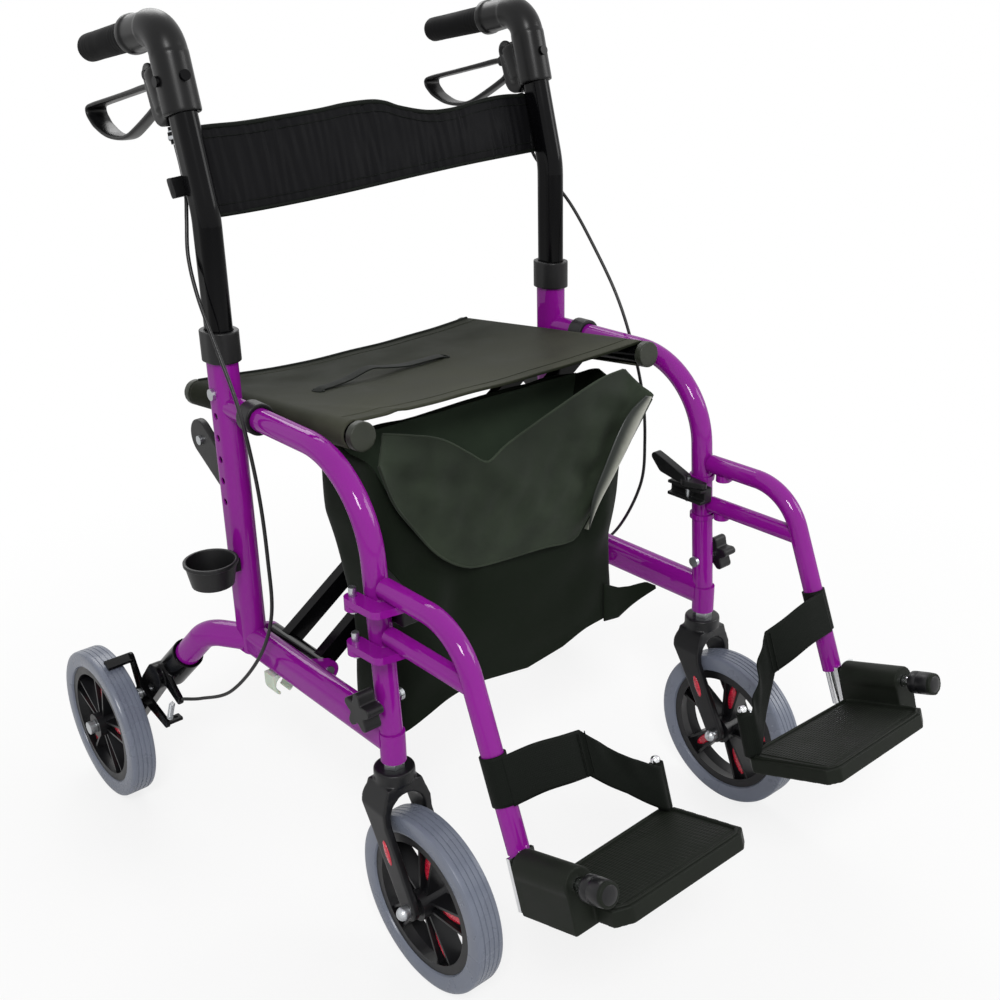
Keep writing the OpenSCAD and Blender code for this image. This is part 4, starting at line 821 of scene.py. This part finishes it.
def bag_shell():
    """A sagging loft: a rounded plan that narrows downwards, a wavy base, and a swollen, creased front."""
    sizes = bpy.context.scene.chair_sizes
    middle_y, half_deep, brim_z, corner_rise, mean_base = -22.5, 54, 512, 30, 232
    turn = round_turn(160)
    plan_x, plan_y = (np.sign(wave) * np.abs(wave) ** 0.3 for wave in (np.cos(turn), np.sin(turn)))
    front, rear = np.clip(-plan_y, 0, 1), np.clip(plan_y, 0, 1)
    t = np.linspace(0, 1, 56)[:, None]
    brim = brim_z + corner_rise * np.sqrt(rear) + corner_rise * ramp(np.abs(plan_x), 0.93, 0.07) * (1 - rear)
    base = through([(-204, 206), (-183, 214), (-150, 229), (-114, 241), (-70, 243), (-30, 236), (10, 232),
                    (50, 237), (95, 249), (130, 250), (160, 247), (192, 254)], 200)
    level = brim + (mean_base - brim) * t
    right_half = np.interp(level, [200, 237, 300, 360, 400, 468, 515, 545],
                           [186, 188, 184, 184, 190, 199, 200, 196])
    left_half = np.interp(level, [200, 262, 300, 353, 411, 494, 520, 545],
                          [152, 154, 151, 152, 162, 174, 180, 186])
    x = np.where(plan_x < 0, right_half, left_half) * plan_x
    y = middle_y + half_deep * plan_y * (1 - 0.05 * t)
    z = brim + (np.interp(x, base[:, 0], base[:, 1]) - brim) * t
    swell = sizes.bag_bulge / MM * np.sin(np.pi * np.clip(t * 1.05, 0, 1)) * np.cos(0.5 * np.pi * x / 210)
    creases = ripple(x, z, 21, 9, 60, 170) * 8.0 + ripple(x, 0.3 * z, 8, 6, 45, 90) * 7.0
    y = y - front * (swell * 0.6 + creases * np.sin(np.pi * t) ** 0.5) + rear * creases * 0.5
    x = x + np.abs(plan_x) ** 8 * ripple(y, z, 3, 6, 70, 160) * 4.0 * np.sin(np.pi * t)
    billow = np.interp(z, [330, 400, 460, 515, 545], [0, 8, 20, 20, 12])
    y = y + billow * ramp(-x, 150, 36) * rear
    walls = np.stack([x, np.maximum(y, -84), z], -1)
    shrink = np.linspace(1, 0, 10)[1:, None]
    under_x = walls[-1, :, 0] * shrink
    under_y = middle_y + (walls[-1, :, 1] - middle_y) * shrink
    under_z = np.interp(under_x, base[:, 0], base[:, 1]) - 3.0 * np.sqrt(1 - shrink)
    rows = np.concatenate([walls, np.stack([under_x, under_y, under_z], -1)])
    return sheet("bag_body", rows, "bag", sizes.cloth / MM, (False, True))


def bag_inner_panel():
    """The bag's inner back as seen over the flap, painted paler as painted light where the seat shades it."""
    brim_z, drop, back_y, wave_high = 541, 150, 24, 3.0
    x = np.linspace(-184, 172, 90) + np.zeros((40, 1))
    z = brim_z - drop * np.linspace(0, 1, 40)[:, None] + np.zeros(90)
    y = back_y + wave_high * ripple(x, 0.4 * z, 14, 8, 50, 130)
    return sheet("bag_inner_panel", np.stack([x, y, z], -1), "inner", 1.2)


def bag_flap():
    """The flap, cut like an envelope with a notched upper edge, swollen and folded, and its bound edges."""
    count, hang_y = 120, -88
    crest = through([(-204, 584), (-168, 573), (-128, 559), (-96, 537), (-74, 521), (-58, 523), (-24, 535),
                     (40, 555), (104, 573), (146, 578)], count)
    edge = through([(-206, 550), (-190, 505), (-165, 467), (-138, 432), (-107, 408), (-74, 398), (13, 391),
                    (48, 386), (66, 388), (79, 404), (122, 457), (154, 496), (184, 537)], count)
    v = np.linspace(0, 1, 56)[:, None]
    u = np.linspace(0, 1, count)
    x, z = (crest[:, axis] * (1 - v) + edge[:, axis] * v for axis in (0, 1))
    swell = 6 * np.sin(np.pi * v) * np.sin(np.pi * u) ** 0.6
    ridge = 6 * hump(x + 72 - 0.9 * (521 - z), 24) * np.clip(1 - v, 0, 1) ** 0.7
    hollow = 5 * hump(x + 20 - 1.5 * (535 - z), 28) * np.sin(np.pi * v)
    folds = ripple(x, z, 17, 9, 34, 110) * 6.5 * np.sin(np.pi * np.clip(v * 1.1, 0, 1))
    roll = 9 * hump(x - 96 - 0.84 * (z - 440), 16) * ramp(z, 392, 60)
    hung = 22 * ramp(-x, 140, 60) * (1 - v) + 24 * ramp(x, 60, 90) ** 1.5 * (1 - v) ** 1.4
    y = hang_y - swell - folds - ridge + hollow - roll + hung
    shift = np.clip(y - hang_y, 0, None)
    cloth = np.stack([x + 0.9 * shift, y, z - 0.52 * shift], -1)
    lid = sheet("bag_flap", cloth, "flap", 1.4)
    hems = [rod(cloth[row, ::2], radius, 10, (0, 1, 0)) for row, radius in ((-1, 1.6), (0, 1.3))]
    return lid, piece("bag_flap_binding", hems, "flap", 60.0)


def bag_lining():
    """The strip of lining, pale with a painted highlight, that shows where the flap's edge rolls over."""
    outer = through([(74, 398), (98, 429), (122, 457), (150, 491), (170, 517), (183, 535)], 70)
    inner = through([(73, 400), (76, 437), (92, 470), (115, 508), (136, 530), (164, 543)], 70)
    s = np.linspace(0, 1, 70)[:, None]
    w = np.linspace(0, 1, 14)[None]
    x, z = (inner[:, axis] + (outer[:, axis] - inner[:, axis]) * w for axis in ([0], [1]))
    arch = 5 * np.sin(np.pi * np.clip(w * 0.9 + 0.1, 0, 1)) * np.sin(np.pi * s)
    y = -104 - arch + 9 * w ** 3 + 6 * np.abs(s - 0.5) ** 2
    return sheet("bag_flap_lining", np.stack([x, y, z], -1), "lining", 0.8)


def bag_tab():
    """The pointed tab that stands out at the foot of the bag."""
    v = np.linspace(0, 1, 24)[:, None]
    w = np.linspace(0, 1, 10)[None]
    high = np.interp(v, [0, 0.32, 0.55, 0.85, 1], [300, 285, 280, 279, 271])
    low = np.interp(v, [0, 0.3, 1], [248, 244, 267])
    x = 128 + 86 * v + 0 * w
    y = -75 + 5 * np.sin(4 * v) * v - 4 * v + 1.5 * w
    z = low + (high - low) * w
    return sheet("bag_corner_tab", np.stack([x, y, z], -1), "bag", 1.6)


def make_heel_straps():
    """Heel straps: webbing sewn round the hanger and the plate's post, folded once at a stitched crease."""
    high = bpy.context.scene.chair_sizes.strap_height / MM
    leg_up, post_up, out = (np.array(way) for way in (LEG_UP, PLATE_UP, (1.0, 0, 0)))
    middle = np.array((243.0, -306.8, 313.0))
    crease = (143, -317, 300)
    post = plate_frame(*POST_AT)
    leg_r, post_r = 12.2, 6.6
    first = through([middle + (0, -leg_r, 3.0), (205, -320, 314), (170, -320, 307), crease], 60)
    second = through([crease, (122, -328, 281), (98, -342, 262), post + (8, -6.6, 4),
                      post + (0, -6.8, 0)], 60)
    path = np.concatenate([first, second[1:]])
    t = np.linspace(0, 1, len(path))[:, None]
    up = unit(leg_up * (1 - t) + post_up * t)
    narrowing = np.array([1, 1, 0.98, 0.9, 0.97, 1])
    tall = np.interp(t[:, 0], [0, 0.5, 0.62, 0.74, 0.86, 1], high * narrowing)
    wave = 3.0 * np.sin(26 * t) * ramp(t, 0.55, 0.1) * ramp(-t, -0.96, 0.1)
    across = np.linspace(-0.5, 0.5, 16)[None, :, None]
    curl = wave[:, None] * np.clip(across, 0, 1) * 2
    flat = path[:, None] + up[:, None] * (across * tall[:, None, None]) + curl * np.array((0.25, -0.9, 0.3))
    loop = round_turn(40)[:, None, None]

    def cuff(centre, axis, radius):
        """A sleeve of webbing: a circle round an axis, drawn along it."""
        round_it = radius * (np.cos(loop) * out + np.sin(loop) * np.cross(axis, out))
        return centre + round_it + across * high * axis

    fold = np.array((143.0, -318.4, 300.5))
    half_seam = up[len(first) - 1] * np.linspace(-0.46, 0.46, 20)[:, None] * high
    for side, way in SIDES.items():
        skins = [skin(mirrored(flat, way)),
                 skin(mirrored(cuff(middle, leg_up, leg_r), way), (True, False)),
                 skin(mirrored(cuff(post, post_up, post_r), way), (True, False))]
        strap = thicken(piece(f"{side}_heel_webbing", skins, "webbing", 60.0), 1.8)
        seams = []
        for at in (4.0, -4.0):
            line = fold + half_seam + np.array((at, -0.4 * abs(at), 0))
            seams.append(rod(mirrored(line, way), 0.6, 6))
        thread = piece(f"{side}_heel_strap_stitches", seams, "webbing", 60.0)
        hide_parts(f"{side}_heel_strap")
        for obj in (strap, thread):
            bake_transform(obj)


def make_footplates():
    """Footplates with rounded mould edges, a ribbed tread in a raised border, rubber tips and post studs."""
    outline = np.array([(-14, 5), (-40, 4), (-176, -2), (-184, 6), (-179, 96), (-170, 103), (-28, 103),
                        (-15, 95)])
    edges = np.vstack([outline, outline[:1]])
    walk = np.linspace(0, len(outline), 1280, endpoint=False)
    dense = np.stack([np.interp(walk, np.arange(len(edges)), edges[:, axis]) for axis in (0, 1)], 1)
    rim = np.mean([np.roll(dense, k, axis=0) for k in range(-24, 25, 4)], axis=0)[::8]
    u = np.linspace(0, 1, 260)[:, None]
    v = np.linspace(0, 1, 150)[None]
    x = -22 - 154 * u + 0 * v
    forward = 10 + 86 * v - 5 * u * (1 - v)
    rib_high, rib_pitch, cross_pitch = 0.45, 3.6, 5.2
    along_ribs, cross_ribs = (np.abs(np.sin(np.pi * place / pitch)) ** 0.6
                              for place, pitch in ((forward, rib_pitch), (x, cross_pitch)))
    fade = np.clip(np.minimum(np.minimum(u, 1 - u), np.minimum(v, 1 - v)) / 0.012, 0, 1)
    plate_top, border_z = -25.6, -24.9
    tread = plate_frame(x, forward, plate_top + (0.8 + rib_high * (along_ribs + 0.6 * cross_ribs)) * fade)
    edge = plate_frame(rim[:, 0], rim[:, 1], np.full(len(rim), border_z))
    tip = [(0, 0), (0, 11.2), (1.0, 12.2), (4, 12.5), (8.6, 12.5), (9.4, 12.0), (10.2, 12.0), (11, 12.5),
           (20, 12.4), (23.5, 12.2), (26.4, 11.0), (28, 8.6), (28.6, 4.5), (28.8, 0)]
    tip_at, post_top = plate_frame(0.0, 86.2, 0.0), plate_frame(*POST_AT[:2], 26.4)
    crown = [(0, 5.2), (1.4, 5.2), (3.6, 4.6), (5.2, 3.0), (5.8, 0)]
    for side, way in SIDES.items():
        body = f"{side}_footplate"
        moulded(f"{side}_moulded_footplate", f"{side}_footplate", "plate", 1.0, 7, body)
        mat = piece(f"{side}_plate_tread", [skin(mirrored(tread, way))], "plate", 70.0)
        bead = rod(mirrored(edge, way), 2.0, 10, (0, 0.3, 1), True)
        border = piece(f"{side}_plate_border", [bead], "plate", 60.0)
        rubber = turned(tip, mirrored(tip_at, way), PLATE_AHEAD, 40)
        cap = piece(f"{side}_rubber_tip", [rubber], "rim", 40.0)
        dome = turned(crown, mirrored(post_top, way), PLATE_UP, 28)
        stud = piece(f"{side}_post_tip", [dome], "chrome")
        for obj in (mat, border, cap, stud):
            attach(obj, body)


def make_mouldings():
    """The smaller mouldings, each with rounded edges, from the frame's collars to the seat tubes' caps."""
    for side in SIDES:
        for name, node, finish, slot, voxel, rounds, body in (
                ("moulded_collar", "upright_collar", "nylon", "black_plastic", 0.8, 6, "frame"),
                ("moulded_fittings", "frame_fittings", "nylon", "black_plastic", 0.8, 6, "frame"),
                ("cast_bracket", "wheel_bracket", "enamel", "black_paint", 0.9, 5, "frame"),
                ("snap_clip", "storage_clip", "clip", "pale_plastic", 0.7, 5, "frame"),
                ("lobed_knob", "star_knob", "nylon", "black_plastic", 0.8, 9, "knob"),
                ("thumb_latch", "latch_lever", "nylon", "black_plastic", 0.7, 7, "latch")):
            moulded(f"{side}_{name}", f"{side}_{node}", finish, voxel, rounds, f"{side}_{body}")
    moulded("moulded_cup", "cup_holder", "nylon", 0.7, 4, "right_frame")
    for leg in "ab":
        moulded(f"domed_caps_{leg}", f"seat_caps_{leg}", "cap", 0.8, 8, f"cross_{leg}")


def make_fasteners():
    """Dome nuts on the front axles, and the return spring of each brake as a helix."""
    dome = [(0, 0), (0, 7.0), (1.4, 7.2), (4.4, 6.8), (6.4, 5.4), (7.6, 3.2), (8.0, 0)]
    nut_x = 33.5
    coils, coil_r, wire_r = 11, 3.2, 0.6
    ends = np.array([(316.0, 250.3, 139.6), (316.0, 232.3, 176.6)])
    turn = np.linspace(0, 2 * np.pi * coils, coils * 16)[:, None]
    share = np.linspace(0, 1, len(turn))[:, None]
    axis, out = unit(ends[1] - ends[0]), np.array((1.0, 0, 0))
    helix = ends[0] + (ends[1] - ends[0]) * (0.12 + 0.76 * share)
    helix = helix + coil_r * (np.cos(turn) * out + np.sin(turn) * np.cross(axis, out))
    path = np.concatenate([ends[:1], helix, ends[1:]])
    for side, way in SIDES.items():
        for face, where in ((1.0, "outer"), (-1.0, "inner")):
            at = mirrored((FRAME_X + face * nut_x, *FRONT_HUB[1:]), way)
            cap = turned(dome, at, (face * way, 0, 0), 32)
            nut = piece(f"{side}_front_dome_nut_{where}", [cap], "zinc", 35.0)
            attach(nut, f"{side}_caster")
        wire = rod(mirrored(path, way), wire_r, 7, axis)
        spring = piece(f"{side}_brake_spring", [wire], "zinc", 80.0)
        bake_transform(spring)


def make_floor():
    """A matt white floor that shows the camera a soft shadow near the chair and plain white further off."""
    half_wide, floor_z = 5000, -0.5
    near, far = 0.5, 1.3
    ground = blank("matt_white_floor")
    seen = add(ground, "LightPath").outputs["Is Camera Ray"]
    grain = add(ground, "TexNoise", {"Scale": 1 / 0.3}).outputs[0]
    matt = add(ground, "BsdfDiffuse", {"Color": blended(ground, grain, "#EDEDEC", "#F4F4F3")})
    glow = add(ground, "Emission", {"Color": (1, 1, 1, 1), "Strength": 1.0})
    place = add(ground, "TexCoord").outputs["Object"]
    away = add(ground, "VectorMath", {0: place}, operation="LENGTH").outputs["Value"]
    share = maths(ground, "MULTIPLY", seen, mapped(ground, away, (near, far), (0.8, 1.0)))
    mixed = add(ground, "MixShader", {0: share, 1: matt.outputs[0], 2: glow.outputs[0]})
    add(ground, "OutputMaterial", {"Surface": mixed.outputs[0]})
    FINISHES["floor"] = ground
    grid = np.linspace(-half_wide, half_wide, 9)
    rows = np.stack(np.broadcast_arrays(grid[None], grid[:, None], floor_z), -1)
    piece("studio_floor", [skin(rows)], "floor")


def make_surround():
    """A surround that is full white to the camera and in gloss, and dimmer as light."""
    world = bpy.data.worlds.new("studio_surround")
    bpy.context.scene.world = world
    world.use_nodes = True
    world.node_tree.nodes.clear()
    rays = add(world, "LightPath").outputs
    shine = maths(world, "MAXIMUM", rays["Is Camera Ray"], rays["Is Glossy Ray"])
    clear = maths(world, "MAXIMUM", shine, rays["Is Transmission Ray"])
    level = mapped(world, clear, target=(0.48, 1.0))
    sky = add(world, "Background", {"Color": (1, 1, 1, 1), "Strength": level})
    add(world, "OutputWorld", {"Surface": sky.outputs[0]})


def make_lamps():
    """Three square softboxes turned to the chair: size in metres and power in watts."""
    target = Vector((0, 0, 0.45))
    for name, at, size, watts in (
            ("key", (-1.6, -2.0, 2.6), 0.8, 54), ("fill", (2.2, -1.6, 1.7), 1.2, 22),
            ("rear", (0.6, 2.2, 2.6), 1.6, 30)):
        lamp = bpy.data.lights.new(f"{name}_softbox", "AREA")
        lamp.size = size
        lamp.energy = watts
        holder = bpy.data.objects.new(f"{name}_softbox", lamp)
        bpy.context.scene.collection.objects.link(holder)
        holder.location = at
        holder.rotation_euler = (target - Vector(at)).to_track_quat("-Z", "Y").to_euler()


def make_camera():
    """The photograph's camera, as fitted to it: where it stands, how it is turned, and its lens."""
    azimuth, elevation, roll = (math.radians(angle) for angle in (-40.080, 22.791, -1.268))
    level = math.cos(elevation)
    back = Vector((math.sin(azimuth) * level, -math.cos(azimuth) * level, math.sin(elevation)))
    right = Vector((math.cos(azimuth), math.sin(azimuth), 0))
    up = back.cross(right)
    across = right * math.cos(roll) + up * math.sin(roll)
    above = up * math.cos(roll) - right * math.sin(roll)
    view = Matrix((across, above, back)).transposed().to_4x4()
    view.translation = Vector((-0.8521, -1.0361, 0.9939))
    eye = bpy.data.cameras.new("photo_camera")
    eye.lens = 44.49
    eye.sensor_width = 36.0
    eye.shift_x = 0.00347
    eye.shift_y = -0.00295
    eye.clip_end = 50
    camera = bpy.data.objects.new("photo_camera", eye)
    bpy.context.scene.collection.objects.link(camera)
    camera.matrix_world = view
    bpy.context.scene.camera = camera
    bpy.context.scene.view_settings.view_transform = "Standard"


class CHAIR_OT_stage(bpy.types.Operator):
    """Floor, surround, lamps and camera"""

    bl_idname = "chair.stage"
    bl_label = "Studio stage"

    def execute(self, context):
        make_floor()
        make_surround()
        make_lamps()
        make_camera()
        return {"FINISHED"}


class CHAIR_OT_finishes(bpy.types.Operator):
    """Makes the finishes and paints the solids that stay in sight"""

    bl_idname = "chair.finishes"
    bl_label = "Finishes and painted solids"

    def execute(self, context):
        make_finishes()
        paint_solids()
        return {"FINISHED"}


class CHAIR_OT_tyres(bpy.types.Operator):
    """Grooved tyres and spoke reflectors"""

    bl_idname = "chair.tyres"
    bl_label = "Tyres"

    def execute(self, context):
        make_tyres()
        return {"FINISHED"}


class CHAIR_OT_casters(bpy.types.Operator):
    """Caster forks and their reflectors"""

    bl_idname = "chair.casters"
    bl_label = "Caster forks"

    def execute(self, context):
        make_casters()
        return {"FINISHED"}


class CHAIR_OT_handles(bpy.types.Operator):
    """Housings, levers and grips"""

    bl_idname = "chair.handles"
    bl_label = "Handles"

    def execute(self, context):
        make_handles()
        return {"FINISHED"}


class CHAIR_OT_cables(bpy.types.Operator):
    """Brake cables"""

    bl_idname = "chair.cables"
    bl_label = "Brake cables"

    def execute(self, context):
        make_cables()
        return {"FINISHED"}


class CHAIR_OT_seat(bpy.types.Operator):
    """Seat cloth, piping and pull strap"""

    bl_idname = "chair.seat"
    bl_label = "Seat"

    def execute(self, context):
        make_seat()
        return {"FINISHED"}


class CHAIR_OT_back_band(bpy.types.Operator):
    """Gathered back band"""

    bl_idname = "chair.back_band"
    bl_label = "Back band"

    def execute(self, context):
        make_back_band()
        return {"FINISHED"}


class CHAIR_OT_bag(bpy.types.Operator):
    """Bag, flap and lining"""

    bl_idname = "chair.bag"
    bl_label = "Bag"

    def execute(self, context):
        make_bag()
        return {"FINISHED"}


class CHAIR_OT_heel_straps(bpy.types.Operator):
    """Heel straps"""

    bl_idname = "chair.heel_straps"
    bl_label = "Heel straps"

    def execute(self, context):
        make_heel_straps()
        return {"FINISHED"}


class CHAIR_OT_footplates(bpy.types.Operator):
    """Footplates with tread, border and rubber tips"""

    bl_idname = "chair.footplates"
    bl_label = "Footplates"

    def execute(self, context):
        make_footplates()
        return {"FINISHED"}


class CHAIR_OT_mouldings(bpy.types.Operator):
    """Collars, fittings, brackets, clips, knobs, latches, cup and caps"""

    bl_idname = "chair.mouldings"
    bl_label = "Small mouldings"

    def execute(self, context):
        make_mouldings()
        return {"FINISHED"}


class CHAIR_OT_fasteners(bpy.types.Operator):
    """Dome nuts and brake springs"""

    bl_idname = "chair.fasteners"
    bl_label = "Fasteners"

    def execute(self, context):
        make_fasteners()
        return {"FINISHED"}


STEPS = (
    CHAIR_OT_finishes, CHAIR_OT_stage, CHAIR_OT_cables, CHAIR_OT_tyres, CHAIR_OT_casters, CHAIR_OT_handles,
    CHAIR_OT_seat, CHAIR_OT_back_band, CHAIR_OT_bag, CHAIR_OT_heel_straps, CHAIR_OT_footplates,
    CHAIR_OT_mouldings, CHAIR_OT_fasteners,
)


class CHAIR_PT_panel(bpy.types.Panel):
    """Lists the steps and settings of the chair"""

    bl_idname = "CHAIR_PT_panel"
    bl_label = "Rollator chair"
    bl_space_type = "VIEW_3D"
    bl_region_type = "UI"
    bl_category = "Chair"

    def draw(self, context):
        scene = context.scene
        for group, kind in ((scene.chair_colours, ChairColours), (scene.chair_sizes, ChairSizes)):
            for key in kind.__annotations__:
                self.layout.prop(group, key)
        for step in STEPS:
            self.layout.operator(step.bl_idname)


CLASSES = (ChairColours, ChairSizes, *STEPS, CHAIR_PT_panel)


def register():
    """Registers the classes and hangs the settings on the scene."""
    for kind in CLASSES:
        bpy.utils.register_class(kind)
    bpy.types.Scene.chair_colours = bpy.props.PointerProperty(type=ChairColours)
    bpy.types.Scene.chair_sizes = bpy.props.PointerProperty(type=ChairSizes)


def unregister():
    """Takes the settings and classes away again."""
    del bpy.types.Scene.chair_sizes
    del bpy.types.Scene.chair_colours
    for kind in reversed(CLASSES):
        bpy.utils.unregister_class(kind)


def main():
    register()
    for step in STEPS:
        group, name = step.bl_idname.split(".")
        getattr(getattr(bpy.ops, group), name)()


if __name__ == "__main__":
    main()
